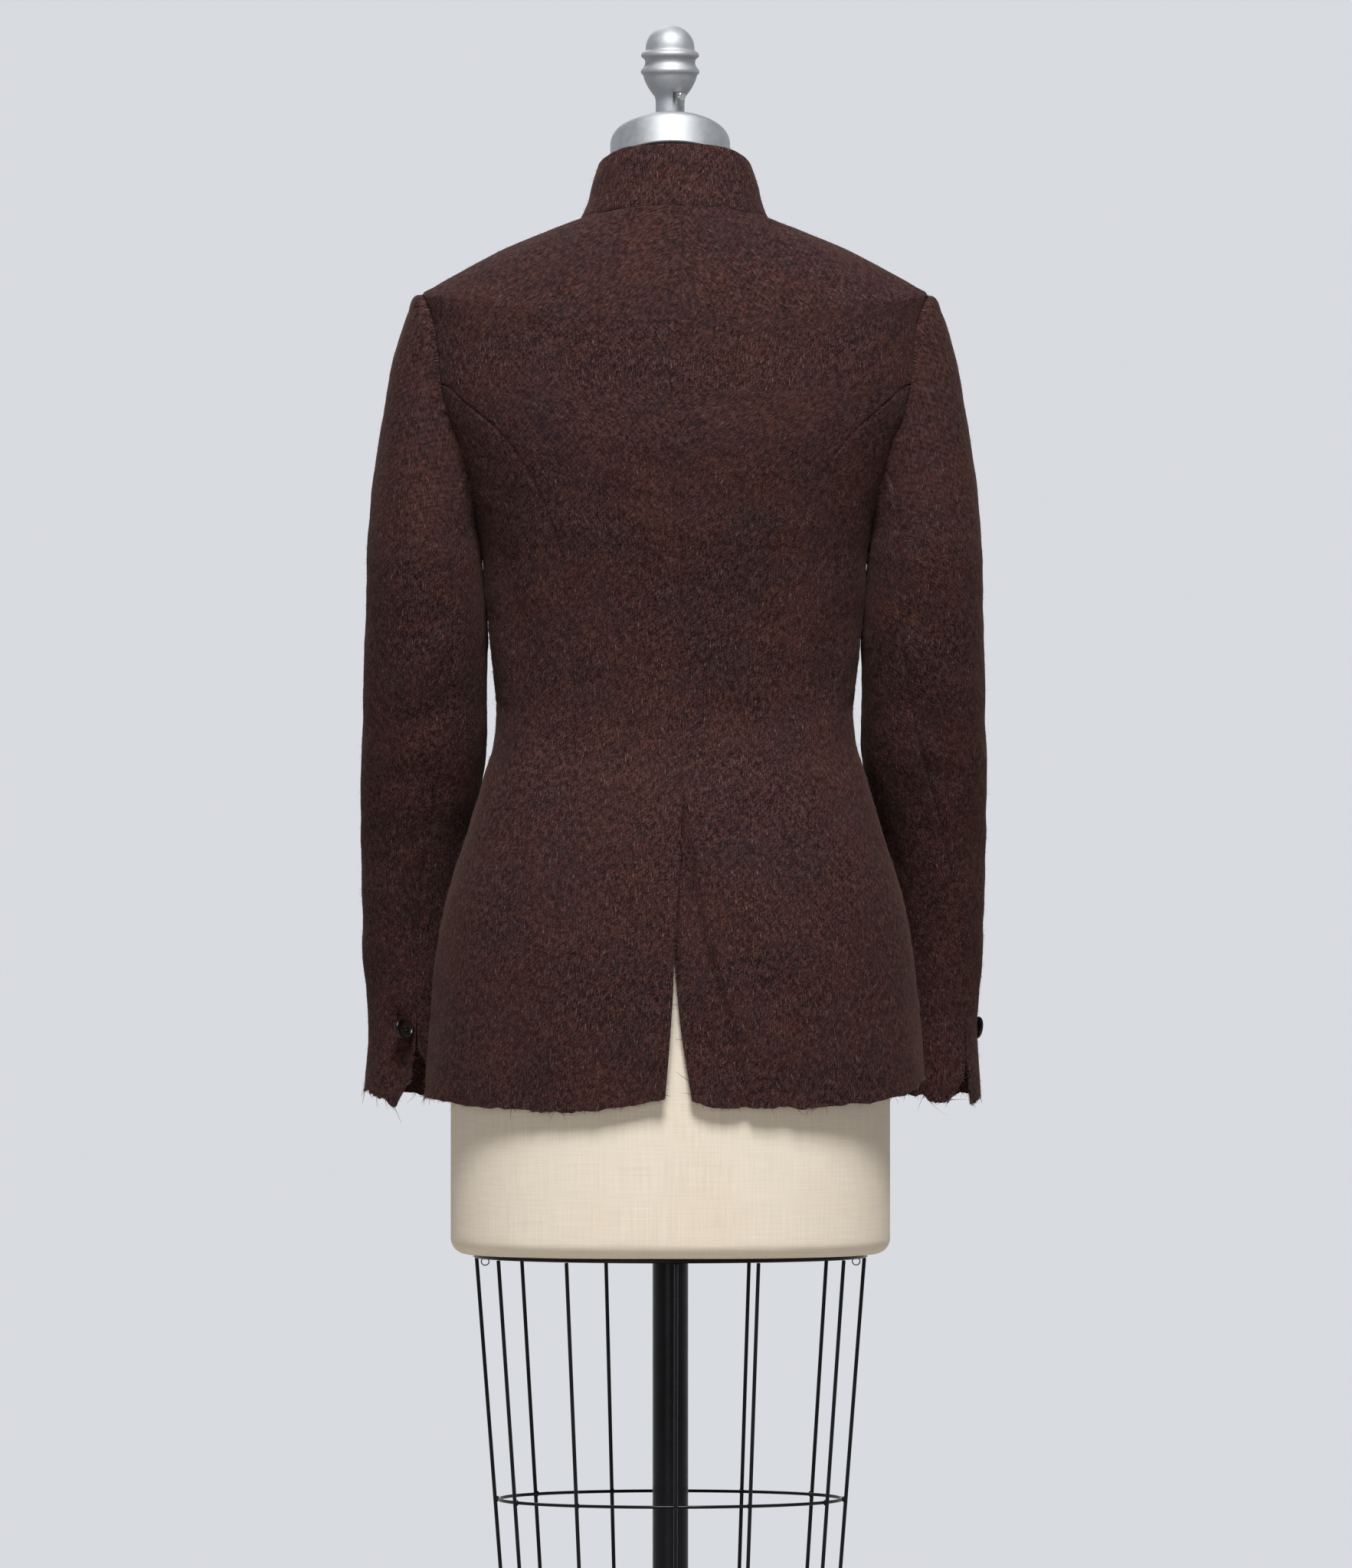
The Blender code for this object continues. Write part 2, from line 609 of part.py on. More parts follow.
def sleeve_ring_point(angle, z, side):
    """Point of the sleeve at an angle and a height below the armhole, before its folds."""
    ring = SleeveRing(z, *(read_curve(SLEEVE_RINGS, "z", column, z) for column in SleeveRing._fields[1:]))
    turn = math.radians(angle)
    x = ring.centre_x + ring.half_width * math.cos(turn)
    y = ring.centre_y + ring.half_depth * math.sin(turn)
    return Vector((side * x, y, z))


def cap_point(run, front, share, side):
    """Point of the sleeve cap: the armhole's edge at share 0, the first whole ring at share 1."""
    edge = armhole_point(run, side, front)
    inward = (Vector((edge.x, ARM_Y, ARMHOLE_MIDDLE)) - edge).normalized()
    start = edge + inward * ARMHOLE_GAP + Vector((side * ARMHOLE_GAP, 0, 0))
    angle = column_angle(run, front)
    end = sleeve_ring_point(angle, FIRST_RING_Z, side)
    out = read_curve(CAP_LINE, "down", "out", share)
    rope = ROPE * max(0.0, math.cos(math.radians(angle))) * math.sin(math.pi * min(1.0, share / ROPE_SHARE))
    point = Vector((
        start.x + (end.x - start.x) * out,
        start.y + (end.y - start.y) * (1 - (1 - share) ** CAP_ROUNDNESS),
        start.z + (end.z - start.z) * share + rope,
    ))
    return point, inward


def twisted(angle, z, side):
    """A column's angle at a height: the back seam turns outward on the way to the cuff."""
    seam = column_angle(BACK_SEAM_RUN, False)
    near = 0.5 + 0.5 * math.cos(math.radians(angle - seam))
    return angle - SEAM_TWIST[side] * near * smooth_step(FIRST_RING_Z - z, 0, FIRST_RING_Z - CUFF_Z)


def sleeve_grid(side):
    """Outer and inner points of a whole sleeve, rows down from the armhole and columns round it."""
    columns = sleeve_columns()
    count = len(columns)
    outer = [[cap_point(run, front, share, side)[0] for run, front in columns] for share in CAP_SHARES]
    angles = [[column_angle(run, front) for run, front in columns] for _ in CAP_SHARES]
    for z in SLEEVE_HEIGHTS:
        angles.append([twisted(angle, z, side) for angle in angles[0]])
        outer.append([sleeve_ring_point(angle, z, side) for angle in angles[-1]])
    inner = []
    smooth = [list(line) for line in outer]
    for row, line in enumerate(smooth):
        above, below = smooth[max(row - 1, 0)], smooth[min(row + 1, len(smooth) - 1)]
        inner_row = []
        for c in range(count):
            round_it = line[(c + 1) % count] - line[c - 1]
            normal = side * (below[c] - above[c]).cross(round_it).normalized()
            if row == 0:
                inward = cap_point(*columns[c], 0.0, side)[1]
                inner_row.append(line[c] + inward * CLOTH)
                continue
            if row >= len(CAP_SHARES):
                depth = fold_depth(SLEEVE_FOLDS, angles[row][c], line[c].z, SLEEVE_DEGREE)
                outer[row][c] = line[c] - normal * depth
            inner_row.append(outer[row][c] - normal * CLOTH)
        inner.append(inner_row)
    return outer, inner


def slid_along(row, distance):
    """A row of points slid along itself: the first by the distance, and those after it by less and less."""
    lengths = [0.0]
    for before, after in zip(row, row[1:]):
        lengths.append(lengths[-1] + (after - before).length)
    slid = []
    for length in lengths:
        at = length + distance * max(0.0, 1 - length / (3 * distance)) ** 2
        n = max(i for i in range(len(row) - 1) if lengths[i] <= at)
        slid.append(row[n].lerp(row[n + 1], (at - lengths[n]) / (lengths[n + 1] - lengths[n])))
    return slid


def sleeve_panel(name, outer, inner, columns, side, edge_column):
    """One panel of a sleeve: the given columns of the sleeve's grid, half a seam gap inside its seams."""
    back_seam = sleeve_columns().index((BACK_SEAM_RUN, False))
    grids = []
    for grid in (outer, inner):
        rows = []
        for line in grid:
            row = [line[c] for c in columns]
            if columns[0] != back_seam:
                row.reverse()
            z = min(FIRST_RING_Z, line[back_seam].z)
            row = slid_along(row, read_curve(CUFF_VENT, "z", edge_column, z))
            row = slid_along(row[::-1], SEAM_GAP / 2)
            if (columns[0] == back_seam) == (side > 0):
                row.reverse()
            rows.append(row)
        grids.append(rows)
    wall(name, *grids, tweed())


def make_sleeves():
    """An upper and an under sleeve on each side."""
    columns = sleeve_columns()
    back_seam = columns.index((BACK_SEAM_RUN, False))
    front_seam = columns.index((FRONT_SEAM_RUN, True))
    upper = list(range(front_seam, len(columns))) + list(range(back_seam + 1))
    under = list(range(back_seam, front_seam + 1))
    for side, word in ((1, "left"), (-1, "right")):
        outer, inner = sleeve_grid(side)
        sleeve_panel(f"sleeve_upper_{word}", outer, inner, upper, side, "upper")
        sleeve_panel(f"sleeve_under_{word}", outer, inner, under, side, "under")


def make_collar():
    """The stand collar, open at the centre front."""
    outer, inner = [], []
    turn = 360 - 2 * COLLAR_OPENING
    angles = [COLLAR_OPENING - 90 + turn * n / COLLAR_COLUMNS for n in range(COLLAR_COLUMNS + 1)]
    for ring in COLLAR_RINGS[::-1]:
        level = Level(0, ring.side_z, ring.back_z, ring.front_z, ring.half_width, ring.back, ring.front, 2.0)
        thin = level._replace(
            half_width=level.half_width - COLLAR_CLOTH,
            back=level.back - COLLAR_CLOTH,
            front=level.front - COLLAR_CLOTH,
        )
        tilt = 1.5 - 0.5 * ring.share
        outer.append([ring_point(level, angle, ring.centre_y, tilt) for angle in angles])
        inner.append([ring_point(thin, angle, ring.centre_y, tilt) for angle in angles])
    wall("collar", outer, inner, tweed())


def solid_of_rings(name, rings, material):
    """A closed solid through rings of points, seen from above anticlockwise, from the top down."""
    count = len(rings[0])
    points = [point for ring in rings for point in ring]
    faces = []
    for row in range(len(rings) - 1):
        for column in range(count):
            after = (column + 1) % count
            top, bottom = row * count, (row + 1) * count
            faces.append([top + column, bottom + column, bottom + after, top + after])
    faces.append(list(range(count)))
    faces.append([(len(rings) - 1) * count + column for column in range(count)][::-1])
    return new_object(name, points, faces, material)


def neck_point(half_width, half_depth, height, angle):
    """Point of a ring round the neck's tilted axis, at a height above the underside of the cap."""
    x = half_width * math.cos(math.radians(angle))
    along = half_depth * math.sin(math.radians(angle))
    tilted = Vector((
        x,
        along * math.cos(CAP_TILT) - height * math.sin(CAP_TILT),
        along * math.sin(CAP_TILT) + height * math.cos(CAP_TILT),
    ))
    return Vector(CAP_CENTRE) + tilted


def round_angles(count):
    """Even angles round a circle."""
    return [360 * n / count for n in range(count)]


def make_form_body():
    """The padded torso, close under the cloth on the shoulders and clear of it elsewhere."""
    angles = round_angles(FORM_COLUMNS)
    rings = [[neck_point(*ring, angle) for angle in angles] for ring in NECK_RINGS]
    for run in SHOULDER_RUNS[:-1]:
        ring = []
        for angle in angles:
            along = math.sin(math.radians(angle))
            ease = CLOTH + FORM_EASE + (BACK_EASE if along > 0 else FRONT_EASE) * along * along
            ring.append(plain_body_point(angle, run) - outward(plain_body_point, angle, run) * ease)
        rings.append(ring)
    for level in FORM_LEVELS:
        shift = Vector((STAND_X * smooth_step(level.run, UNDERARM_RUN, HEM_RUN), 0, 0))
        rings.append([ring_point(level, angle) + shift for angle in angles])
    last = FORM_LEVELS[-1]
    for step in (30, 60, 90):
        turn = math.radians(step)
        inset = FORM_CORNER * (1 - math.cos(turn))
        z = last.side_z - FORM_CORNER * math.sin(turn)
        level = last._replace(
            side_z=z, back_z=z, front_z=z,
            half_width=last.half_width - inset, back=last.back - inset, front=last.front - inset,
        )
        rings.append([ring_point(level, angle) + Vector((STAND_X, 0, 0)) for angle in angles])
    solid_of_rings("form_body", rings, linen())


def make_neck_cap():
    """The metal cap on the tilted neck, with a rounded upper edge."""
    rings = []
    for height, inset in CAP_PROFILE:
        half_width, half_depth = CAP_HALF_WIDTH - inset, CAP_HALF_DEPTH - inset
        rings.append([neck_point(half_width, half_depth, height, angle) for angle in round_angles(CAP_COLUMNS)])
    solid_of_rings("form_neck_cap", rings, cast_aluminium())


def turned(name, profile, centre, material, steps=20):
    """A solid turned round a vertical axis, from its profile given from the top down."""
    mesh = bpy.data.meshes.new(name)
    points = [(turn.radius * MM, 0, turn.z * MM) for turn in profile]
    mesh.from_pydata(points, [(n, n + 1) for n in range(len(points) - 1)], [])
    mesh.materials.append(material)
    item = bpy.data.objects.new(name, mesh)
    item.location = (centre[0] * MM, centre[1] * MM, 0)
    bpy.context.scene.collection.objects.link(item)
    screw = item.modifiers.new("turn", "SCREW")
    screw.steps = screw.render_steps = steps
    screw.use_merge_vertices = True
    screw.merge_threshold = 0.00001
    screw.use_smooth_shade = True
    return item


def make_finial():
    """The turned finial and its set screw."""
    turned("form_finial", FINIAL, FINIAL_CENTRE, cast_aluminium())
    way = Vector((math.cos(math.radians(SCREW_ANGLE)), math.sin(math.radians(SCREW_ANGLE)), 0))
    start = Vector((*FINIAL_CENTRE, SCREW_Z)) + way * SCREW_START
    disc("form_screw", start, way, SCREW_RADIUS, SCREW_LENGTH, cast_aluminium(), 12)


def disc(name, centre, normal, radius, thick, material, sides=20):
    """A round piece on a flat back, its front edge rounded, standing on centre along normal."""
    bm = bmesh.new()
    bmesh.ops.create_cone(bm, cap_ends=True, segments=sides, radius1=radius, radius2=radius, depth=thick)
    rim = [edge for edge in bm.edges if all(vert.co.z > 0 for vert in edge.verts)]
    bmesh.ops.bevel(bm, geom=rim, offset=thick * 0.3, segments=2, profile=0.5, affect="EDGES")
    bmesh.ops.translate(bm, verts=bm.verts, vec=(0, 0, thick / 2))
    bmesh.ops.scale(bm, vec=(MM, MM, MM), verts=bm.verts)
    mesh = bpy.data.meshes.new(name)
    bm.to_mesh(mesh)
    bm.free()
    mesh.materials.append(material)
    mesh.shade_smooth()
    mesh.set_sharp_from_angle(angle=SHARP_ANGLE)
    item = bpy.data.objects.new(name, mesh)
    item.location = centre * MM
    item.rotation_euler = normal.to_track_quat("Z", "Y").to_euler()
    bpy.context.scene.collection.objects.link(item)
    return item


def button(name, point, normal):
    """A button that stands just clear of the cloth, as its thread shank holds it."""
    disc(name, point + normal * BUTTON_CLEAR, normal, BUTTON_RADIUS, BUTTON_THICK, button_horn())


def make_buttons():
    """Five buttons down the centre front, and one on each cuff."""
    first, last = FRONT_BUTTON_RUNS
    for n in range(FRONT_BUTTONS):
        button(f"front_button_{n + 1}", *body_point(270, first + (last - first) * n / (FRONT_BUTTONS - 1)))
    for side, word in ((1, "left"), (-1, "right")):
        angle, z = CUFF_BUTTON_ANGLE[side], CUFF_BUTTON_Z
        along = sleeve_ring_point(angle + 2, z, side) - sleeve_ring_point(angle - 2, z, side)
        down = sleeve_ring_point(angle, z - 5, side) - sleeve_ring_point(angle, z + 5, side)
        button(f"cuff_button_{word}", sleeve_ring_point(angle, z, side), (side * down.cross(along)).normalized())


def ellipse(half_width, half_depth, angle, z):
    """Point of an ellipse round the stand's axis."""
    turn = math.radians(angle)
    return Vector((STAND_X + half_width * math.cos(turn), half_depth * math.sin(turn), z))


def make_plate():
    """The oval plate under the form's body."""
    rings = []
    for z, inset in ((PLATE_TOP, 0.8), (PLATE_TOP - 0.8, 0), (PLATE_BOTTOM + 0.8, 0), (PLATE_BOTTOM, 0.8)):
        rings.append([
            ellipse(PLATE_HALF_WIDTH - inset, PLATE_HALF_DEPTH - inset, angle, z) for angle in round_angles(PLATE_COLUMNS)
        ])
    solid_of_rings("form_plate", rings, black_enamel())


def make_pole():
    """The pole, from the hub of the base to the plate."""
    top = PLATE_BOTTOM - FIT_GAP
    bottom = BASE_THICK + HUB_HEIGHT + FIT_GAP
    profile = (Turn(0, top), Turn(POLE_RADIUS, top), Turn(POLE_RADIUS, bottom), Turn(0, bottom))
    turned("pole", profile, (STAND_X, 0), black_enamel(), steps=20)


def cage_size(z):
    """Half-width and half-depth of the cage at a height, along its straight wires."""
    share = (z - LOWER_RING_Z) / (PLATE_BOTTOM - LOWER_RING_Z)
    return (
        CAGE_BOTTOM[0] + (CAGE_TOP[0] - CAGE_BOTTOM[0]) * share,
        CAGE_BOTTOM[1] + (CAGE_TOP[1] - CAGE_BOTTOM[1]) * share,
    )


def tube(name, points, radius, material, cyclic=False):
    """A wire along a few points, as a curve with a round bevel and filled ends."""
    curve = bpy.data.curves.new(name, "CURVE")
    curve.dimensions = "3D"
    curve.bevel_depth = radius * MM
    curve.bevel_resolution = 1
    curve.use_fill_caps = not cyclic
    spline = curve.splines.new("POLY")
    spline.points.add(len(points) - 1)
    for target, point in zip(spline.points, points):
        target.co = (*(point * MM), 1.0)
    spline.use_cyclic_u = cyclic
    curve.materials.append(material)
    item = bpy.data.objects.new(name, curve)
    bpy.context.scene.collection.objects.link(item)
    return item


def make_cage():
    """The cage round the pole: straight wires from the plate down, and two rings inside them."""
    top, bottom = PLATE_BOTTOM - FIT_GAP, LOWER_RING_Z - 6
    for n, angle in enumerate(CAGE_WIRE_ANGLES):
        ends = [ellipse(*cage_size(z), angle, z) for z in (top, bottom)]
        tube(f"cage_wire_{n + 1:02d}", ends, WIRE_RADIUS, black_enamel())
    inset = WIRE_RADIUS + RING_WIRE_RADIUS + FIT_GAP
    for word, z in (("upper", UPPER_RING_Z), ("lower", LOWER_RING_Z)):
        half_width, half_depth = cage_size(z)
        ring = [ellipse(half_width - inset, half_depth - inset, angle, z) for angle in round_angles(RING_COLUMNS)]
        tube(f"cage_ring_{word}", ring, RING_WIRE_RADIUS, black_enamel(), cyclic=True)


def make_base():
    """The round base with its raised hub."""
    hub_top = BASE_THICK + HUB_HEIGHT
    profile = (
        Turn(0, hub_top), Turn(HUB_RADIUS - 12, hub_top), Turn(HUB_RADIUS - 8, hub_top - 4),
        Turn(HUB_RADIUS - 5, BASE_THICK + 14), Turn(HUB_RADIUS + 6, BASE_THICK + 4),
        Turn(HUB_RADIUS + 30, BASE_THICK), Turn(BASE_RADIUS - 6, BASE_THICK - 3),
        Turn(BASE_RADIUS, BASE_THICK - 7), Turn(BASE_RADIUS, 0), Turn(0, 0),
    )
    turned("base", profile, (STAND_X, 0), black_enamel(), steps=36)


def main():
    """Builds the jacket, and then the form and stand that it rests on."""
    clear_scene()
    make_body()
    make_sleeves()
    make_collar()
    make_buttons()
    make_form_body()
    make_neck_cap()
    make_finial()
    make_plate()
    make_pole()
    make_cage()
    make_base()


main()
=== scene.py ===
"""A tweed jacket on a dress form: the looks of every piece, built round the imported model.

Tables and sizes are in millimetres, in the model's own frame: +Z up, the jacket's front faces -Y and the
wearer's left is +X. Meshes are written in metres. The cloth follows the same tables as its solids, on a
finer grid.
"""

import logging
import math
from collections.abc import Iterable, Sequence
from dataclasses import dataclass, field
from enum import Enum
from typing import NamedTuple

import bpy
import numpy as np
from mathutils import Matrix, Vector

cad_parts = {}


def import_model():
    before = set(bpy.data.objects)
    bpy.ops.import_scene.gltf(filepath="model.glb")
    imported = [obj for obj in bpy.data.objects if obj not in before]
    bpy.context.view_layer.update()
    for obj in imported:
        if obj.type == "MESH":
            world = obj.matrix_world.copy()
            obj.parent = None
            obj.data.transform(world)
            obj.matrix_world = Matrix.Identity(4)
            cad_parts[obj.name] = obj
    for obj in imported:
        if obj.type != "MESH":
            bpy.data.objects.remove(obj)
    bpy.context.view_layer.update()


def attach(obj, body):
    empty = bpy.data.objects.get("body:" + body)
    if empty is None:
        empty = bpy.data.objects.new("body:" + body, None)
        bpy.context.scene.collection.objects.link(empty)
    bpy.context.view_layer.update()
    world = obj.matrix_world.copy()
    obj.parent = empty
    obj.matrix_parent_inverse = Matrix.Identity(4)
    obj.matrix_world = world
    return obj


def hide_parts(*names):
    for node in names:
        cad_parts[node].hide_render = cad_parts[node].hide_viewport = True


log = logging.getLogger("jacket")

MM = 0.001
BODY = "root"
PHOTO_WIDTH, PHOTO_HEIGHT = 1765, 2047
PIXEL = 0.6

# The jacket's own sizes.
CLOTH = 1.8
COLLAR_CLOTH = 2.4
HALF_SEAM = 0.04
TIP_RUN = 137.0
UNDERARM_RUN = 320.0
HEM_RUN = 764.0
HEM_Z = 731.0
HEM_BLEND = 90.0
CENTRE_BACK_X = -3.6
VENT_TOP_Z = 950.0
VENT_STEP = 3.0
VENT_LAP_X = (-18.0, -5.0)
VENT_LAP_Z = (VENT_TOP_Z + 3, VENT_TOP_Z + 22)
FRONT_LAP = 18.0
FRONT_STEP = 2.6
FRONT_LAP_X = (FRONT_LAP + 2.5, FRONT_LAP + 19)
BODY_DEGREE = 2.4
SLEEVE_DEGREE = 0.85
STAND_X = 3.5
# How late a level's height rises on the way from its side to its front and back.
RISE_POWER = 1.5
# Between two hard pieces that are fitted together.
FIT_GAP = 0.3
# Panels lie on the padded body, by its node's name.
UNDERNEATH = ["form_body"]


def rows_of(kind: type, *rows: tuple[float, ...]) -> tuple:
    """A table whose rows are all of one kind."""
    return tuple(kind(*row) for row in rows)


class Level(NamedTuple):
    """One level of the jacket's body: its run down from the neck, its heights, half-width and depths."""

    run: float
    side_z: float
    back_z: float
    front_z: float
    half_width: float
    back: float
    front: float
    power: float


JACKET_LEVELS = rows_of(
    Level, (0, 1417, 1426, 1374, 74.7, 62, 72, 2.0), (23, 1409, 1414, 1363, 96.0, 67, 77, 2.05),
    (63, 1394, 1393, 1346, 133.0, 76, 82, 2.15), (96, 1379, 1372, 1330, 162.6, 84, 86, 2.25),
    (126, 1364, 1348, 1313, 189.0, 90, 90, 2.35), (137, 1358, 1339, 1306, 198.0, 92, 92, 2.4),
    (165, 1330, 1314, 1284, 196.5, 96, 98, 2.4), (195, 1300, 1288, 1262, 195.0, 99, 104, 2.4),
    (225, 1270, 1263, 1240, 189.5, 102, 110, 2.4), (249, 1246, 1243, 1224, 179.5, 103, 115, 2.4),
    (275, 1220, 1220, 1206, 170.0, 101, 119, 2.35), (299, 1196, 1196, 1189, 161.5, 98, 121, 2.3),
    (320, 1175, 1175, 1171, 155.0, 96, 120, 2.25), (347, 1148, 1148, 1146, 150.5, 91, 116, 2.2),
    (375, 1120, 1120, 1119, 149.0, 86, 110, 2.2), (391, 1104, 1104, 1104, 146.5, 84, 106, 2.2),
    (416, 1079, 1079, 1079, 144.6, 81, 100, 2.2), (446, 1049, 1049, 1049, 141.3, 78, 94, 2.2),
    (461, 1034, 1034, 1034, 139.8, 78, 92, 2.2), (476, 1019, 1019, 1019, 140.4, 79, 92, 2.2),
    (491, 1004, 1004, 1004, 142.5, 82, 93, 2.2), (508, 987, 987, 987, 147.9, 88, 96, 2.2),
    (530, 965, 965, 965, 154.2, 97, 100, 2.2), (564, 931, 931, 931, 164.4, 108, 105, 2.2),
    (596, 899, 899, 899, 175.0, 116, 110, 2.2), (622, 873, 873, 873, 181.8, 121, 113, 2.2),
    (656, 839, 839, 839, 187.2, 126, 116, 2.2), (711, 784, 784, 784, 192.3, 129, 118, 2.2),
    (764, 731, 731, 731, 196.0, 130, 118, 2.2),
)

FORM_LEVELS = rows_of(
    Level, (137, 1340, 1331, 1300, 176.0, 88, 84, 2.3), (165, 1318, 1308, 1280, 172.0, 91, 90, 2.3),
    (195, 1290, 1283, 1258, 164.0, 93, 97, 2.25), (249, 1240, 1238, 1220, 152.0, 95, 107, 2.2),
    (299, 1194, 1194, 1187, 145.0, 91, 113, 2.2), (347, 1148, 1148, 1146, 140.0, 83, 107, 2.2),
    (416, 1079, 1079, 1079, 133.0, 72, 90, 2.2), (461, 1034, 1034, 1034, 129.0, 69, 83, 2.2),
    (508, 987, 987, 987, 136.0, 77, 87, 2.2), (564, 931, 931, 931, 153.0, 97, 96, 2.2),
    (622, 873, 873, 873, 166.0, 110, 104, 2.2), (711, 784, 784, 784, 171.5, 118, 110, 2.25),
    (764, 731, 731, 731, 172.0, 120, 112, 2.25), (876, 619.6, 619.6, 619.6, 172.0, 120, 112, 2.25),
)


class ArmEdge(NamedTuple):
    """How far round from the side line the armhole's back and front edges lie at one level."""

    run: float
    back_angle: float
    front_angle: float


ARMHOLE = rows_of(
    ArmEdge, (137, 0.0, 0.0), (140, 8.0, 8.5), (147, 13.5, 14.5), (160, 17.5, 20.0), (178, 19.5, 23.0),
    (204, 20.0, 24.0), (207, 20.0, 24.0), (225, 20.0, 24.5), (249, 19.5, 24.0), (275, 17.5, 22.0),
    (296, 14.0, 18.0), (311, 9.0, 11.5), (318, 4.5, 6.0), (320, 0.0, 0.0),
)
SIDE_PANEL_TOP_RUN = 207.0


class Seam(NamedTuple):
    """A seam's distance from the centre plane at one height."""

    z: float
    x: float


PRINCESS = rows_of(
    Seam, (1288, 179), (1271, 160), (1252, 140), (1228, 122), (1190, 103), (1150, 90), (1079, 84),
    (1031, 80), (965, 84), (900, 92), (830, 98), (700, 104),
)


class EdgeHeight(NamedTuple):
    """Height of a cut edge at one angle round its piece."""

    angle: float
    z: float


HEM = rows_of(
    EdgeHeight, (0, 731), (25, 728), (50, 723), (65, 721.6), (80, 725.5), (88, 731.5), (92, 730), (98, 725),
    (118, 725), (134, 727.5), (150, 732), (164, 739), (180, 746), (200, 738), (222, 730), (270, 722),
    (320, 726), (360, 731),
)
# Cuff edges of the sleeves: angle round the sleeve, 0 outside and 90 behind.
CUFF_EDGE = {
    1: rows_of(
        EdgeHeight, (-180, 727), (-90, 729), (-20, 733), (12, 734), (29, 731), (55, 726), (66, 720.5),
        (75, 728), (84, 738), (100, 748), (122, 731), (150, 728), (180, 727),
    ),
    -1: rows_of(
        EdgeHeight, (-180, 728), (-90, 728), (-20, 729), (10, 727), (34, 723.5), (94, 723.5), (103, 728),
        (112, 732), (140, 730), (180, 728),
    ),
}


class VentEdge(NamedTuple):
    """Where the two panels' edges stand along the vent at one height."""

    z: float
    left_x: float
    right_x: float


VENT = rows_of(
    VentEdge, (960, -3.3, -3.9), (950, -3.3, -3.9), (938, -2.8, 12.1), (900, -1.0, 9.9), (838, 2.8, 1.9),
    (815, 3.5, 0.3), (785, 5.4, -2.7), (731, 9.7, -11.0), (700, 12.0, -14.5),
)


class Tuck(NamedTuple):
    """The slack beside the vent at one height: where it ends, and how far it falls in."""

    z: float
    x: float
    depth: float


VENT_TUCK = rows_of(
    Tuck, (968, -1.0, 0.0), (950, -4.0, 1.8), (911, -14.7, 4.2), (851, -26.4, 6.5), (791, -43.0, 6.0),
    (722, -60.0, 3.2),
)


class Fold(NamedTuple):
    """A soft trough, or a ridge where depth is negative: its line, its width and how deep it goes."""

    from_angle: float
    from_z: float
    to_angle: float
    to_z: float
    width: float
    depth: float


BODY_FOLDS = rows_of(
    Fold, (91, 940, 110, 790, 17, 3.4), (97, 925, 118, 800, 20, -2.2), (28, 1165, 34, 1060, 18, 3.0),
    (150, 1115, 145, 1030, 18, 3.0), (66, 1015, 52, 985, 20, 1.6), (95, 1034, 128, 1026, 13, 1.6),
    (42, 890, 36, 760, 26, 2.4), (62, 850, 60, 745, 22, -2.0), (140, 880, 147, 765, 26, 2.4),
    (215, 900, 205, 750, 28, 2.6), (325, 900, 335, 750, 28, 2.6), (300, 1240, 318, 1150, 22, 2.0),
    (240, 1240, 222, 1150, 22, 2.0),
)
# Finer creases of the body, which only the cloth shows: back, sides and front.
BODY_CREASES = rows_of(
    Fold, (88, 1034, 88, 965, 12, -0.9), (95.5, 985, 109, 742, 9.0, -1.2), (84, 940, 81, 790, 15, -1.2),
    (112, 850, 121, 745, 12, -1.0), (93, 1036, 112, 1034, 5, 0.8), (104, 1022, 122, 1006, 8, 0.6),
    (84, 1012, 70, 1022, 8, 0.7), (96, 965, 118, 940, 9, 0.8), (70, 962, 58, 940, 9, 0.7),
    (124, 1215, 140, 1130, 12, 0.8), (55, 1215, 42, 1130, 12, 0.8), (30, 1118, 44, 1092, 8, 0.9),
    (32, 1092, 47, 1074, 7, 0.8), (150, 1120, 137, 1096, 8, 0.9), (149, 1090, 134, 1076, 7, 0.7),
    (78, 905, 74, 770, 14, 0.9), (126, 880, 131, 760, 15, 1.0), (12, 1060, 24, 1048, 7, 0.9),
    (8, 1040, 26, 1022, 7, 1.0), (166, 1062, 154, 1046, 7, 0.9), (172, 1038, 153, 1024, 7, 1.0),
    (20, 880, 14, 760, 16, 1.1), (160, 860, 166, 770, 16, 1.1), (345, 1130, 330, 1100, 9, 0.9),
    (342, 1085, 322, 1066, 9, 0.9), (195, 1130, 210, 1100, 9, 0.9), (198, 1085, 219, 1066, 9, 0.9),
    (284, 1052, 306, 1040, 9, 0.8), (256, 1052, 234, 1042, 9, 0.8), (286, 1010, 308, 996, 10, 0.7),
    (254, 1012, 232, 1000, 10, 0.7), (290, 1330, 312, 1290, 12, 0.9), (250, 1330, 228, 1290, 12, 0.9),
    (285, 880, 296, 760, 18, 1.0), (255, 880, 244, 760, 18, 1.0),
)


class SleeveRing(NamedTuple):
    """The sleeve at one height below the armhole."""

    z: float
    centre_x: float
    centre_y: float
    half_width: float
    half_depth: float


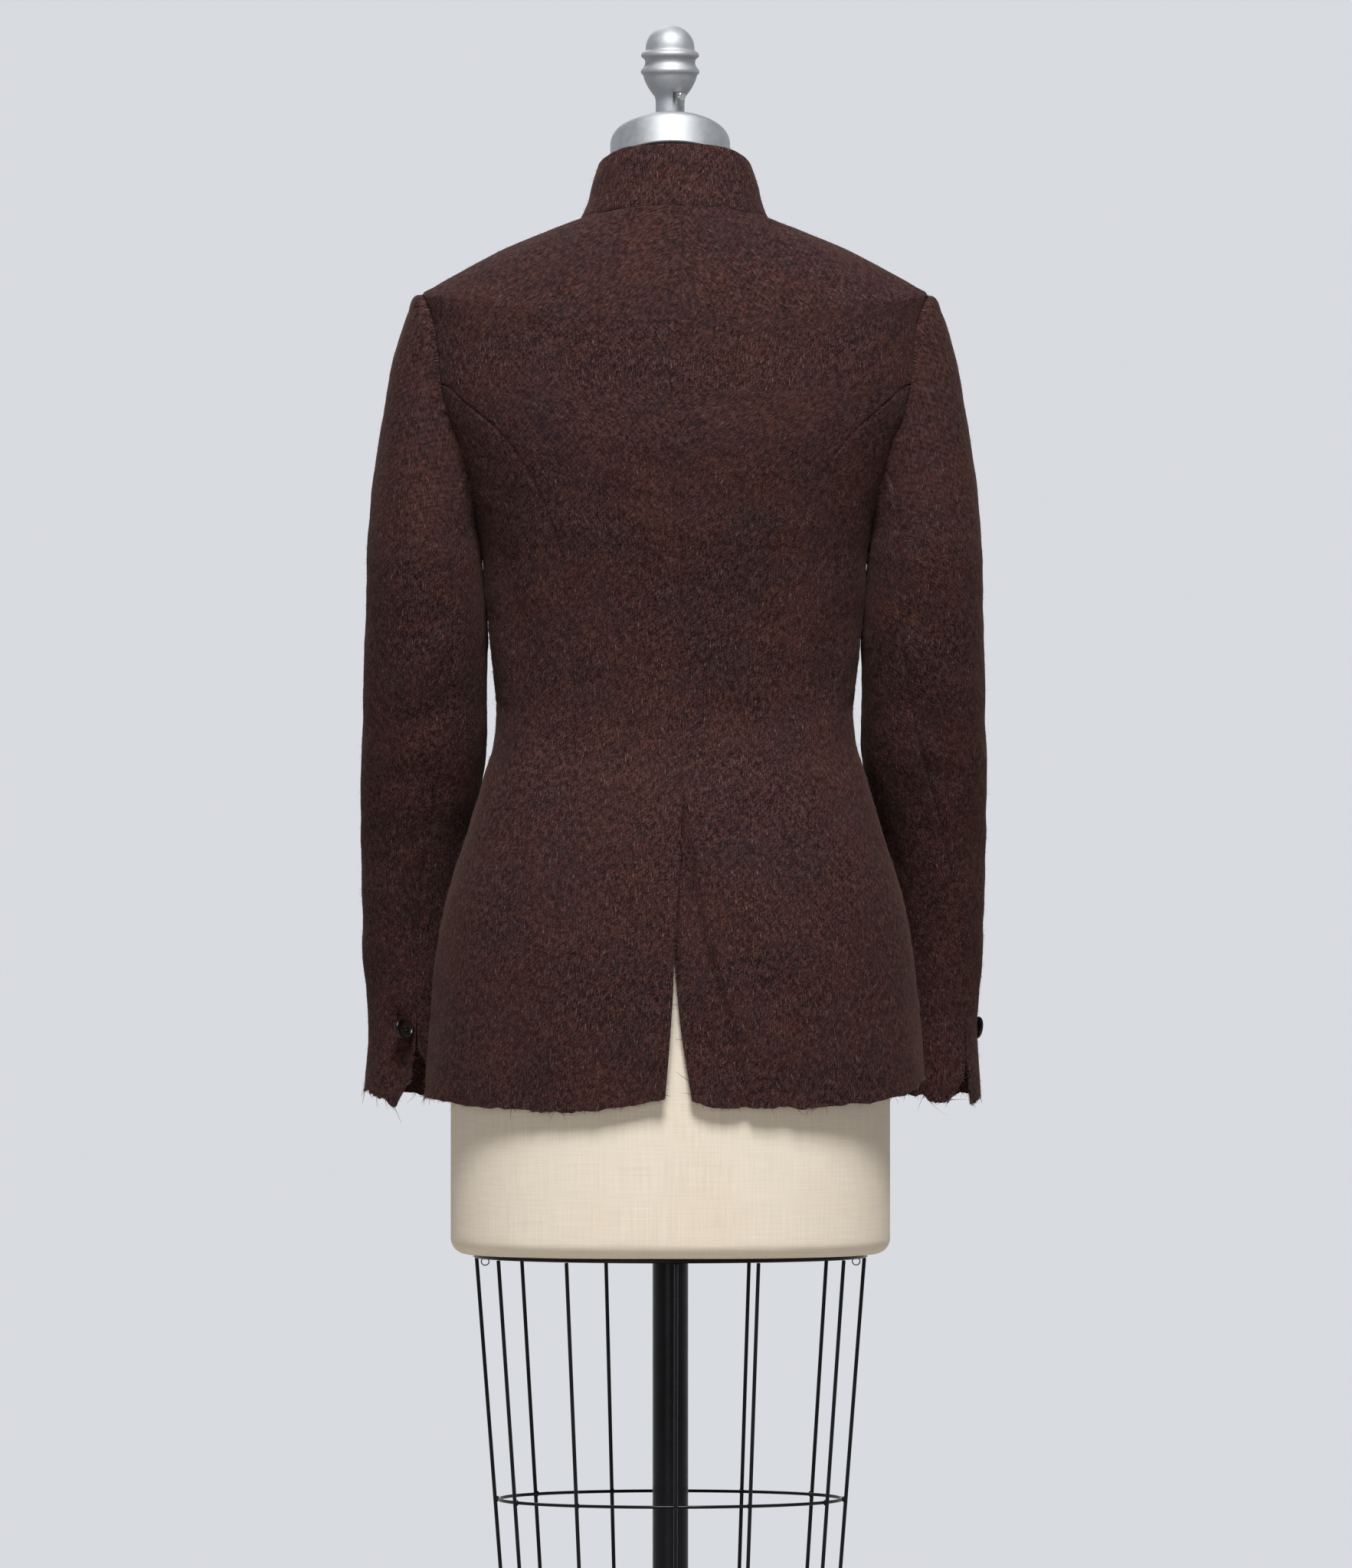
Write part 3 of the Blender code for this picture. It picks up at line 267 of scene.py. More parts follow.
SLEEVE_RINGS = rows_of(
    SleeveRing, (1150, 198.1, -2, 43.3, 54.0), (1104, 196.4, -9, 45.8, 53.0),
    (1049, 197.0, -21, 47.2, 51.0), (1000, 199.2, -35, 46.8, 49.0), (965, 201.8, -47, 44.6, 48.0),
    (929, 204.2, -60, 42.2, 46.5), (880, 206.7, -74, 39.4, 45.0), (839, 207.0, -84, 38.5, 44.0),
    (809, 205.6, -89, 36.8, 43.0), (779, 204.8, -92, 36.4, 42.0), (749, 205.6, -94, 37.2, 42.5),
    (727, 206.2, -95, 38.0, 43.5),
)
FIRST_RING_Z = SLEEVE_RINGS[0].z
CUFF_Z = SLEEVE_RINGS[-1].z


class CapStep(NamedTuple):
    """The outer line of the sleeve cap: its share of the way out at one share of the way down."""

    down: float
    out: float


CAP_LINE = rows_of(
    CapStep, (0.0, 0.0), (0.015, 0.1), (0.05, 0.235), (0.12, 0.365), (0.19, 0.46), (0.26, 0.55),
    (0.4, 0.665), (0.55, 0.785), (0.76, 0.92), (1.0, 1.0),
)
SLEEVE_FOLDS = rows_of(
    Fold, (118, 1120, 62, 1075, 13, 2.0), (130, 1050, 70, 1015, 14, 2.4), (60, 985, 120, 960, 16, 1.8),
    (-60, 1060, -120, 1085, 14, 2.2), (-70, 1000, -128, 1020, 14, 2.2), (20, 940, 60, 900, 18, 1.6),
)


class Fulness(NamedTuple):
    """How far the sleeve's inner side hangs towards the body at one height."""

    z: float
    out: float


INNER_FULNESS = rows_of(
    Fulness, (1176, 0.0), (1160, 2.9), (1150, 3.9), (1104, 4.0), (1090, 4.1), (1070, 3.1), (1049, 2.8),
    (1000, 5.0), (965, 4.4), (929, 1.6), (890, 0.0),
)
SLEEVE_CREASES = rows_of(
    Fold, (105, 1098, 60, 1062, 6, 0.8), (125, 1078, 84, 1040, 7, 1.0), (110, 1028, 64, 1000, 7, 0.9),
    (95, 990, 52, 972, 8, 0.8), (118, 950, 80, 925, 8, 0.8), (100, 880, 70, 838, 9, 0.7),
    (62, 800, 84, 783, 6, 1.3), (-70, 1120, -110, 1105, 8, 0.9), (-62, 1030, -118, 1045, 8, 1.1),
    (-58, 980, -110, 985, 8, 0.9), (-60, 930, -100, 905, 10, 0.8), (-10, 1030, 30, 1010, 12, 0.6),
    (-20, 880, 25, 850, 14, 0.7), (150, 860, 200, 830, 12, 0.9), (160, 1010, 205, 980, 12, 1.0),
)
# The hollow that the hanging cuff button pulls into the left cuff.
CUFF_HOLLOW = Fold(70, 795, 66, 775, 6.5, 4.2)
BACK_SEAM_RUN = 275.0
FRONT_SEAM_RUN = 296.0
SEAM_TWIST = {1: 28.0, -1: 78.0}


class CuffEdge(NamedTuple):
    """How far the open cuff vent's edges stand back from the seam at one height."""

    z: float
    upper: float
    under: float


CUFF_VENT = rows_of(
    CuffEdge, (900, 0.15, 0.15), (800, 0.2, 0.2), (775, 0.5, 1.0), (752, 1.2, 4.0), (727, 2.5, 20.0),
)
ARMHOLE_GAP = 0.06
ROPE = 4.0
ROPE_SHARE = 0.06
CAP_ROUNDNESS = 2.2
ARM_Y = -3.0
CUFF_BUTTON_ANGLE = {1: 78.0, -1: -22.0}
CUFF_BUTTON_Z = 782.0
# How the loosely sewn cuff buttons tip over: a sideways part of the way that they face.
CUFF_BUTTON_LEAN = {1: (-0.98, 0, 0.50), -1: (0, 0, -0.15)}
BUTTON_RUNS = (60.0, 500.0)
BUTTON_COUNT = 5


class CollarRing(NamedTuple):
    """The stand collar at one share of its height."""

    share: float
    side_z: float
    back_z: float
    front_z: float
    half_width: float
    back: float
    front: float
    centre_y: float


COLLAR_RINGS = rows_of(
    CollarRing, (0.0, 1417.1, 1426.1, 1374.1, 74.5, 61.8, 71.8, 0),
    (0.16, 1423.0, 1434.0, 1380.5, 70.8, 60.2, 70.4, -1.5),
    (0.38, 1431.5, 1446.0, 1388.0, 67.6, 59.6, 68.2, -5.0),
    (0.62, 1442.0, 1459.0, 1396.0, 65.6, 59.2, 65.6, -8.5),
    (0.84, 1450.0, 1468.4, 1403.0, 63.0, 57.8, 63.2, -11.0),
    (1.0, 1455.5, 1474.8, 1408.0, 60.4, 55.8, 61.0, -12.5),
)
COLLAR_OPENING = 3.2
# Distances of a panel's first columns from its seam.
NEAR_SEAM = (0.0, 0.7, 1.5, 2.5, 3.8, 5.4, 7.4)
# Runs of the rows that stand closer: the armhole's top, its middle and end, and the hem.
CLOSE_RUNS = (
    137, 137.6, 138.5, 140, 142, 144.5, 147, 150, 153, 156, 204, 205.5, 207, 296, 300, 303.5, 306.5, 309,
    311, 313, 315, 316.8, 318, 319, 319.6, 320, 755, 758, 760.5, 762.5, 764,
)


class Yarn(NamedTuple):
    """One sort of loose end along a cut edge: how close, how long, how thick and how curled."""

    spacing: float
    shortest: float
    longest: float
    radius: float
    steps: int
    swing: float


LOOSE_ENDS = rows_of(
    Yarn, (1.2, 0.9, 2.8, 0.14, 2, 0.6), (5.5, 2.0, 4.5, 0.26, 4, 1.3), (26.0, 3.0, 6.5, 0.34, 7, 2.6),
)

Array = np.ndarray
Colour = tuple[float, float, float]
Object, Material, Socket = bpy.types.Object, bpy.types.Material, bpy.types.NodeSocket


class Side(Enum):
    """The wearer's left and right, as the sign of X."""

    LEFT = 1
    RIGHT = -1

    @property
    def word(self) -> str:
        """The side's name as the pieces use it."""
        return self.name.lower()


class Finish(Enum):
    """The record's material slots."""

    TWEED = "tweed"
    LINEN = "linen"
    ALUMINIUM = "cast_aluminium"
    ENAMEL = "black_enamel"
    BASE = "base_enamel"
    HORN = "button_horn"


@dataclass(frozen=True)
class Curve:
    """A smooth line through measured steps, which never swings past them."""

    at: tuple[float, ...]
    value: tuple[float, ...]

    def read(self, where: Array | float) -> Array:
        """Reads the line.

        Args:
            where: places along it, held inside its two ends.

        Returns:
            Its value at each place.
        """
        x, y = np.array(self.at, float), np.array(self.value, float)
        secant = np.diff(y) / np.diff(x)
        before, after = secant[:-1], secant[1:]
        both = before + after
        inner = np.where(before * after > 0, 2 * before * after / np.where(both == 0, 1, both), 0)
        tangent = np.concatenate([secant[:1], inner, secant[-1:]])
        where = np.clip(where, x[0], x[-1])
        i = np.clip(np.searchsorted(x, where, side="right") - 1, 0, len(x) - 2)
        width = x[i + 1] - x[i]
        t = (where - x[i]) / width
        rise = width * (tangent[i] * t * (1 - t) ** 2 - tangent[i + 1] * t * t * (1 - t))
        return y[i] * (1 + 2 * t) * (1 - t) ** 2 + y[i + 1] * t * t * (3 - 2 * t) + rise


def columns_of(rows: Sequence[NamedTuple], key: str) -> dict[str, Curve]:
    """Makes a smooth line of each column of a table.

    Args:
        rows: the table.
        key: the column that the others are read by.

    Returns:
        The lines by their column's name.
    """
    ordered = sorted(rows, key=lambda row: getattr(row, key))
    at = tuple(getattr(row, key) for row in ordered)
    names = [name for name in rows[0]._fields if name != key]
    return {name: Curve(at, tuple(getattr(row, name) for row in ordered)) for name in names}


def smooth_step(value: Array | float, low: float, high: float) -> Array:
    """0 below low, 1 above high, and a smooth rise between them."""
    t = np.clip((value - low) / (high - low), 0, 1)
    return t * t * (3 - 2 * t)


def signed_power(value: Array, power: Array | float) -> Array:
    """A power that keeps the sign of its value."""
    return np.sign(value) * np.abs(value) ** power


def unit(vectors: Array) -> Array:
    """The vectors at length 1."""
    return vectors / np.maximum(np.linalg.norm(vectors, axis=-1, keepdims=True), 1e-9)


def pressed(folds: Sequence[Fold], angle: Array, z: Array, degree: float) -> Array:
    """Adds up how far the folds press a surface in.

    Args:
        folds: the folds.
        angle: angle of each point round its piece, in degrees.
        z: height of each point.
        degree: millimetres to a degree round the piece.

    Returns:
        The depth at each point.
    """
    depth = np.zeros(np.broadcast(angle, z).shape)
    for fold in folds:
        start = np.array((fold.from_angle * degree, fold.from_z))
        way = np.array((fold.to_angle * degree, fold.to_z)) - start
        across, up = angle * degree - start[0], z - start[1]
        share = np.clip((across * way[0] + up * way[1]) / (way @ way), -0.15, 1.15)
        away = np.hypot(across - share * way[0], up - share * way[1])
        fade = smooth_step(share, -0.15, 0.35) * (1 - smooth_step(share, 0.65, 1.15))
        depth += fold.depth * fade * np.exp(-((away / fold.width) ** 2))
    return depth


def ripples(across: Array, down: Array, length: float, seed: int) -> Array:
    """Soft random waves over a flat pattern.

    Args:
        across: places across the pattern.
        down: places down it.
        length: the usual length of a wave.
        seed: picks the waves.

    Returns:
        Heights that mostly lie between -1 and 1.
    """
    rng = np.random.default_rng(seed)
    total = np.zeros(np.broadcast(across, down).shape)
    for _ in range(7):
        turn, phase = rng.uniform(0, 2 * math.pi, 2)
        pace = 2 * math.pi / (length * rng.uniform(0.6, 1.7))
        total += np.sin((across * math.cos(turn) + down * math.sin(turn)) * pace + phase)
    return total / 3.2


def run_along(points: Array, axis: int) -> Array:
    """Distance of each point of a grid from the first of its row, by axis 1, or of its column, by axis 0."""
    steps = np.linalg.norm(np.diff(points, axis=axis), axis=2)
    return np.insert(np.cumsum(steps, axis=axis), 0, 0, axis=axis)


def level_oval(at: dict[str, Array], angle: Array) -> Array:
    """Points round one level, whose front and back have their own depth and height.

    Args:
        at: the columns of a table of levels, read at that level.
        angle: degrees round it, 0 at the wearer's left and 90 at the centre back.

    Returns:
        A point for each angle.
    """
    across, along = np.cos(np.radians(angle)), np.sin(np.radians(angle))
    behind = along > 0
    x = at["half_width"] * signed_power(across, 2 / at["power"])
    y = np.where(behind, at["back"], at["front"]) * signed_power(along, 2 / at["power"])
    rise = np.where(behind, at["back_z"], at["front_z"]) - at["side_z"]
    z = at["side_z"] + rise * np.abs(along) ** RISE_POWER
    return np.stack(np.broadcast_arrays(x, y, z), axis=-1)


def normals_of(points: Array, way: int = 1) -> Array:
    """Unit normals of a grid whose rows run down and whose columns run anticlockwise, seen from above."""
    return way * unit(np.cross(np.gradient(points, axis=0), np.gradient(points, axis=1)))


def stations(width: float, step: float) -> Array:
    """Shares of a panel's width at which its columns lie, closer together beside its seams.

    Args:
        width: the panel's usual width.
        step: distance between columns in the middle.

    Returns:
        Shares from 0 to 1.
    """
    near = np.array(NEAR_SEAM)
    count = max(2, round((width - 2 * near[-1]) / step))
    middle = np.linspace(near[-1], width - near[-1], count + 1)
    return np.concatenate([near[:-1], middle, width - near[-2::-1]]) / width


def use_only(item: Object) -> None:
    """Makes one object the only one that operators act on."""
    bpy.ops.object.select_all(action="DESELECT")
    item.select_set(True)
    bpy.context.view_layer.objects.active = item


def linked(name: str, data: bpy.types.ID) -> Object:
    """An object in the scene that shows the given data."""
    item = bpy.data.objects.new(name, data)
    bpy.context.scene.collection.objects.link(item)
    return item


def smooth(degrees: float) -> None:
    """Smooths the selected object, apart from edges sharper than an angle."""
    bpy.ops.object.shade_smooth_by_angle(angle=math.radians(degrees))


def keep(item: Object, finish: Material, nodes: Iterable[str] = ()) -> None:
    """Gives a finished piece its material in one slot and its body, and hides the solids that it replaces.

    Args:
        item: the piece.
        finish: its material.
        nodes: the solids that it replaces.
    """
    item.data.materials.clear()
    item.data.materials.append(finish)
    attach(item, BODY)
    if nodes:
        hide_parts(*nodes)
    log.info("%s: %d faces", item.name, len(item.data.polygons))


def mesh_piece(name: str, points: Array, faces: list[tuple[int, ...]]) -> Object:
    """A smooth mesh object from points in millimetres, for pieces of many small joined shapes."""
    mesh = bpy.data.meshes.new(name)
    mesh.from_pydata((np.asarray(points) * MM).tolist(), [], faces)
    mesh.shade_smooth()
    return linked(name, mesh)


@dataclass
class Pattern:
    """One cut piece of cloth: its points where it hangs, and the same points laid flat."""

    name: str
    points: Array
    turned: bool = False

    def flat(self) -> Array:
        """The points laid flat, in millimetres from the middle column and the top row."""
        across, down = run_along(self.points, 1), run_along(self.points, 0)
        across -= across[:, across.shape[1] // 2][:, None]
        return np.stack([across, -np.broadcast_to(down.mean(axis=1)[:, None], across.shape)], axis=2)

    def cut(self) -> tuple[float, float, float]:
        """The width and length of the rectangle that the piece is cut from, and its own area, in metres."""
        p = self.points * MM
        width = np.linalg.norm(np.diff(p, axis=1), axis=2).sum(axis=1).max()
        length = np.linalg.norm(np.diff(p, axis=0), axis=2).sum(axis=0).max()
        one = np.cross(p[1:, :-1] - p[:-1, :-1], p[:-1, 1:] - p[:-1, :-1])
        two = np.cross(p[1:, :-1] - p[1:, 1:], p[:-1, 1:] - p[1:, 1:])
        area = (np.linalg.norm(one, axis=2).sum() + np.linalg.norm(two, axis=2).sum()) / 2
        return float(width), float(length), float(min(area, width * length))

    def build(self, thick: float) -> Object:
        """Lays a grid on the points and gives it its thickness inwards.

        Args:
            thick: the cloth's thickness.

        Returns:
            The cloth's object, with its flat pattern as its UV map, in metres.
        """
        points, flat = self.points, self.flat()
        if self.turned:
            points, flat = points[:, ::-1], flat[:, ::-1]
        rows, columns = points.shape[:2]
        bpy.ops.object.select_all(action="DESELECT")
        bpy.ops.mesh.primitive_grid_add(x_subdivisions=columns - 1, y_subdivisions=rows - 1, size=1)
        item = bpy.context.object
        item.name = item.data.name = f"{self.name}_cloth"
        mesh = item.data
        place = np.empty(len(mesh.vertices) * 3)
        mesh.vertices.foreach_get("co", place)
        place = place.reshape(-1, 3) + 0.5
        column = np.rint(place[:, 0] * (columns - 1)).astype(int)
        row = rows - 1 - np.rint(place[:, 1] * (rows - 1)).astype(int)
        mesh.vertices.foreach_set("co", (points[row, column] * MM).ravel())
        corner = np.empty(len(mesh.loops), int)
        mesh.loops.foreach_get("vertex_index", corner)
        mesh.uv_layers[0].data.foreach_set("uv", (flat[row, column][corner] * MM).ravel())
        mesh.update()
        wall = item.modifiers.new("thickness", "SOLIDIFY")
        wall.thickness = thick * MM
        wall.offset = -1
        use_only(item)
        bpy.ops.object.modifier_apply(modifier=wall.name)
        smooth(55)
        return item


def strands(
    roots: Array, ways: Array, lengths: Array, radius: float, bends: Array, steps: int,
) -> tuple[Array, list]:
    """Tapered three-sided strands, each rooted at a point.

    Args:
        roots: where they start.
        ways: unit directions in which they start.
        lengths: how long they are.
        radius: half their thickness at the root.
        bends: how each one turns aside by its tip, as a vector in lengths.
        steps: segments of each strand.

    Returns:
        Their points and faces.
    """
    count = len(roots)
    aside = unit(np.cross(ways, np.array((0.31, 0.52, 0.79))))
    other = np.cross(ways, aside)
    rings = []
    for step in range(steps):
        share = step / steps
        centre = roots + (ways * share + bends * share**2) * lengths[:, None]
        size = radius * (1 - 0.75 * share)
        for corner in range(3):
            turn = 2 * math.pi * corner / 3
            rings.append(centre + size * (math.cos(turn) * aside + math.sin(turn) * other))
    rings.append(roots + (ways + bends) * lengths[:, None])
    points = np.stack(rings, axis=1).reshape(-1, 3)
    each = 3 * steps + 1
    shape = [(0, 2, 1)]
    for step in range(steps - 1):
        for corner in range(3):
            a, b = 3 * step + corner, 3 * step + (corner + 1) % 3
            shape.append((a, b, b + 3, a + 3))
    shape += [(3 * steps - 3 + corner, 3 * steps - 3 + (corner + 1) % 3, 3 * steps) for corner in range(3)]
    faces = [tuple(n * each + v for v in face) for n in range(count) for face in shape]
    return points, faces


def joined(parts: Iterable[tuple[Array, list]]) -> tuple[Array, list]:
    """Several sets of points and faces as one."""
    points, faces, offset = [], [], 0
    for some_points, some_faces in parts:
        points.append(some_points)
        faces += [tuple(v + offset for v in face) for face in some_faces]
        offset += len(some_points)
    return np.concatenate(points), faces


@dataclass
class Fringe:
    """Loose ends along one cut edge of a piece."""

    line: Array
    way: Array
    thick: float = 1.0

    def spots(self, rng: np.random.Generator, count: int) -> tuple[Array, Array]:
        """Random places along the edge, and the way out of the cloth at each."""
        at = rng.uniform(0, len(self.line) - 1.001, count)
        low = at.astype(int)
        share = (at - low)[:, None]
        return (
            self.line[low] * (1 - share) + self.line[low + 1] * share,
            self.way[low] * (1 - share) + self.way[low + 1] * share,
        )


@dataclass
class Cloth:
    """How every sheet of the jacket is made up: its cloth, its pile and its frayed edges."""

    tweed: Material
    yarn: Material
    pile_spacing: float = 5.15
    pile_length: tuple[float, float] = (1.3, 3.6)
    pile_radius: float = 0.1
    pile_root: float = 0.15
    long_share: float = 0.12
    long_factor: float = 1.7
    yarn_root: float = 0.6

    def make(
        self,
        pattern: Pattern,
        out: Array,
        thick: float = CLOTH,
        raw: Sequence[Fringe] = (),
        rests_on: Sequence[str] = (),
        seed: int = 1,
    ) -> Object:
        """Makes one cut piece with its pile and its loose ends.

        Args:
            pattern: the piece.
            out: unit normals of its points.
            thick: its thickness.
            raw: its frayed edges.
            rests_on: what it lies on; not used.
            seed: picks its fibres.

        Returns:
            The cloth's object.
        """
        item = pattern.build(thick)
        keep(item, self.tweed, [pattern.name])
        extras = [self.pile(pattern, out, seed)]
        if raw:
            extras.append(self.fray(pattern, raw, seed + 500))
        width, length, area = pattern.cut()
        log.info("%s: cut %.3f x %.3f m, %.4f square metres", pattern.name, width, length, area)
        return item

    def pile(self, pattern: Pattern, out: Array, seed: int) -> Object:
        """Short wool fibres that stand off the face of the cloth."""
        rng = np.random.default_rng(seed)
        area = pattern.cut()[2]
        count = int(area / (self.pile_spacing * MM) ** 2)
        rows, columns = pattern.points.shape[:2]
        row, column = rng.integers(1, rows - 1, count), rng.integers(1, columns - 1, count)
        shift = rng.uniform(0, 1, (count, 1))
        roots = pattern.points[row, column] * shift + pattern.points[row - 1, column - 1] * (1 - shift)
        normal = out[row, column]
        loose = rng.normal(0, 1, (count, 3))
        loose -= normal * (loose * normal).sum(axis=1, keepdims=True)
        ways = unit(normal * 0.55 + unit(loose) * 0.9 - np.array((0, 0, 0.2)))
        bends = rng.normal(0, 0.35, (count, 3)) - normal * 0.15
        lengths = rng.uniform(*self.pile_length, count)
        lengths = lengths * np.where(rng.uniform(0, 1, count) < self.long_share, self.long_factor, 1)
        points, faces = strands(roots - normal * self.pile_root, ways, lengths, self.pile_radius, bends, 2)
        item = mesh_piece(f"{pattern.name}_pile", points, faces)
        keep(item, self.yarn)
        return item

    def fray(self, pattern: Pattern, raw: Sequence[Fringe], seed: int) -> Object:
        """Loose yarns and fibres along the cut edges."""
        rng = np.random.default_rng(seed)
        parts = []
        for fringe in raw:
            long = np.linalg.norm(np.diff(fringe.line, axis=0), axis=1).sum()
            for sort in LOOSE_ENDS:
                count = max(1, int(long / sort.spacing * fringe.thick))
                roots, out = fringe.spots(rng, count)
                ways = unit(out + rng.normal(0, 0.35, (count, 3)))
                lengths = rng.uniform(sort.shortest, sort.longest, count)
                bends = rng.normal(0, sort.swing * 0.5, (count, 3))
                roots = roots - out * self.yarn_root
                parts.append(strands(roots, ways, lengths, sort.radius, bends, sort.steps))
        points, faces = joined(parts)
        item = mesh_piece(f"{pattern.name}_fray", points, faces)
        keep(item, self.yarn)
        return item


@dataclass
class Bodice:
    """The jacket's body: six panels from the neck and shoulders to the frayed hem."""

    cloth: Cloth
    row_step: float = 3.6
    column_step: float = 3.8
    seam_depth: float = 1.0
    under_lap: float = 2.7
    lap_lift: float = 1.4
    lap_lift_width: float = 8.0
    vent_frays_below: float = VENT_TOP_Z - 80
    front_stitch: float = 7
    back_width: float = 118
    side_back_width: float = 100
    front_width: float = 205
    levels: dict[str, Curve] = field(default_factory=lambda: columns_of(JACKET_LEVELS, "run"))
    armhole: dict[str, Curve] = field(default_factory=lambda: columns_of(ARMHOLE, "run"))
    princess: Curve = field(default_factory=lambda: columns_of(PRINCESS, "z")["x"])
    hem: Curve = field(default_factory=lambda: columns_of(HEM, "angle")["z"])
    vent: dict[str, Curve] = field(default_factory=lambda: columns_of(VENT, "z"))

    def ring_points(self, angle: Array, run: Array) -> Array:
        """The body before its folds.

        Args:
            angle: degrees round it, 0 at the wearer's left and 90 at the centre back.
            run: way down from the neck.

        Returns:
            A point for each pair.
        """
        points = level_oval({name: line.read(run) for name, line in self.levels.items()}, angle)
        share = np.clip((run - (HEM_RUN - HEM_BLEND)) / HEM_BLEND, 0, 1)
        points[..., 2] += (self.hem.read(np.mod(angle, 360)) - HEM_Z) * share
        return points

    def out_of(self, angle: Array, run: Array) -> Array:
        """Unit vectors out of the body."""
        round_it = self.ring_points(angle + 1.5, run) - self.ring_points(angle - 1.5, run)
        below, above = np.minimum(run + 3, HEM_RUN), np.maximum(run - 3, 0)
        down = self.ring_points(angle, below) - self.ring_points(angle, above)
        return unit(np.cross(down, round_it))

    def surface(self, angle: Array, run: Array, fine: bool = True) -> tuple[Array, Array]:
        """The body's face with its folds, and the unit vectors out of it."""
        points, out = self.ring_points(angle, run), self.out_of(angle, run)
        turn, z = np.mod(angle, 360), points[..., 2]
        depth = pressed(BODY_FOLDS, turn, z, BODY_DEGREE)
        if fine:
            depth = depth + pressed(BODY_CREASES, turn, z, BODY_DEGREE)
            across = turn * BODY_DEGREE
            depth = depth + 0.35 * ripples(across, z, 46, 3) + 0.16 * ripples(across, z, 17, 4)
        return points - out * depth[..., None], out

    def degrees_for(self, run: Array, angle: Array, distance: float) -> Array:
        """How many degrees make up a distance round the body there."""
        step = self.ring_points(angle + 0.5, run) - self.ring_points(angle - 0.5, run)
        return distance / np.linalg.norm(step, axis=-1)

    def angle_at(self, run: Array, x: Array) -> Array:
        """The angle at which the back of one level reaches a distance x from the centre plane."""
        half_width, power = self.levels["half_width"].read(run), self.levels["power"].read(run)
        across = np.minimum(1, np.abs(x) / half_width) ** (power / 2)
        return np.degrees(np.arccos(np.sign(x) * across))

    def side_angle(self, run: Array, side: Side, front: bool) -> Array:
        """Angle of a panel's edge at the shoulder seam, the armhole or the side seam."""
        inside = (run > TIP_RUN) & (run < UNDERARM_RUN)
        swing = np.where(inside, self.armhole["front_angle" if front else "back_angle"].read(run), 0)
        turn = swing + np.where(inside, 0, self.degrees_for(run, np.zeros_like(run), HALF_SEAM))
        if side is Side.LEFT:
            return 360 - turn if front else turn
        return 180 + turn if front else 180 - turn

    def princess_angle(self, run: Array, side: Side) -> Array:
        """Angle of the back princess seam."""
        return self.angle_at(run, side.value * self.princess.read(self.levels["side_z"].read(run)))

    def centre_back_angle(self, run: Array, side: Side) -> Array:
        """Angle of a back panel's edge at the centre back seam and along the vent."""
        z = self.levels["back_z"].read(run)
        edge = self.vent["left_x" if side is Side.LEFT else "right_x"].read(z)
        return self.angle_at(run, np.where(z < VENT_TOP_Z, edge, CENTRE_BACK_X + side.value * HALF_SEAM))

    def runs(self, first: float) -> Array:
        """Levels of a panel's rows, closer together at the ends of the armhole and at the hem."""
        even = np.arange(0, HEM_RUN, self.row_step)
        far = even[np.abs(even[:, None] - np.array(CLOSE_RUNS)).min(axis=1) > self.row_step * 0.45]
        runs = np.unique(np.concatenate([far, CLOSE_RUNS, [first]]))
        return runs[runs >= first][:, None]

    def panel(self, runs: Array, first: Array, last: Array, width: float) -> tuple[Array, ...]:
        """Points of one panel between two edges, given as angles.

        Args:
            runs: levels of its rows.
            first: its edge at the lower angle.
            last: its edge at the higher angle.
            width: its usual width.

        Returns:
            The points, the unit vectors out of them, and their distances from the first and last edge.
        """
        shares = stations(width, self.column_step)[None, :]
        angle = first + (last - first) * shares
        points, out = self.surface(angle, runs)
        from_first = run_along(points, 1)
        return points, out, from_first, from_first[:, -1:] - from_first

    def sunk_seam(self, away: Array, down: Array, seed: int) -> Array:
        """How far the cloth dips into a seam, with the small puckers along it."""
        pucker = 0.4 * ripples(down, down * 0, 14, seed) + 0.25 * ripples(down, down * 0, 6, seed + 1)
        beside = np.exp(-((away / 7.0) ** 2)) - np.exp(-((away / 1.5) ** 2))
        return self.seam_depth * np.exp(-((away / 2.1) ** 2)) + pucker * beside

    def ragged(self, points: Array, runs: Array, seed: int) -> Array:
        """Lets the hem's cut edge wander a little."""
        round_it = np.arctan2(points[..., 1], points[..., 0]) * 160
        wander = 0.9 * ripples(round_it, round_it * 0, 24, seed)
        wander = wander + 0.55 * ripples(round_it, round_it * 0, 5, seed + 1)
        points[..., 2] += wander * smooth_step(runs, HEM_RUN - 9, HEM_RUN)
        return points

    def make_up(self, name: str, points: Array, seed: int, open_edge: Fringe | None = None) -> None:
        """Makes a panel in cloth, frayed at its hem and along its open edge.

        Args:
            name: the panel's node.
            points: its points, from the top row to the hem.
            seed: picks its fibres.
            open_edge: its other cut edge.
        """
        raw = [Fringe(points[-1], unit(points[-1] - points[-3]))]
        if open_edge:
            raw.append(open_edge)
        self.cloth.make(Pattern(name, points), normals_of(points), raw=raw, rests_on=UNDERNEATH, seed=seed)

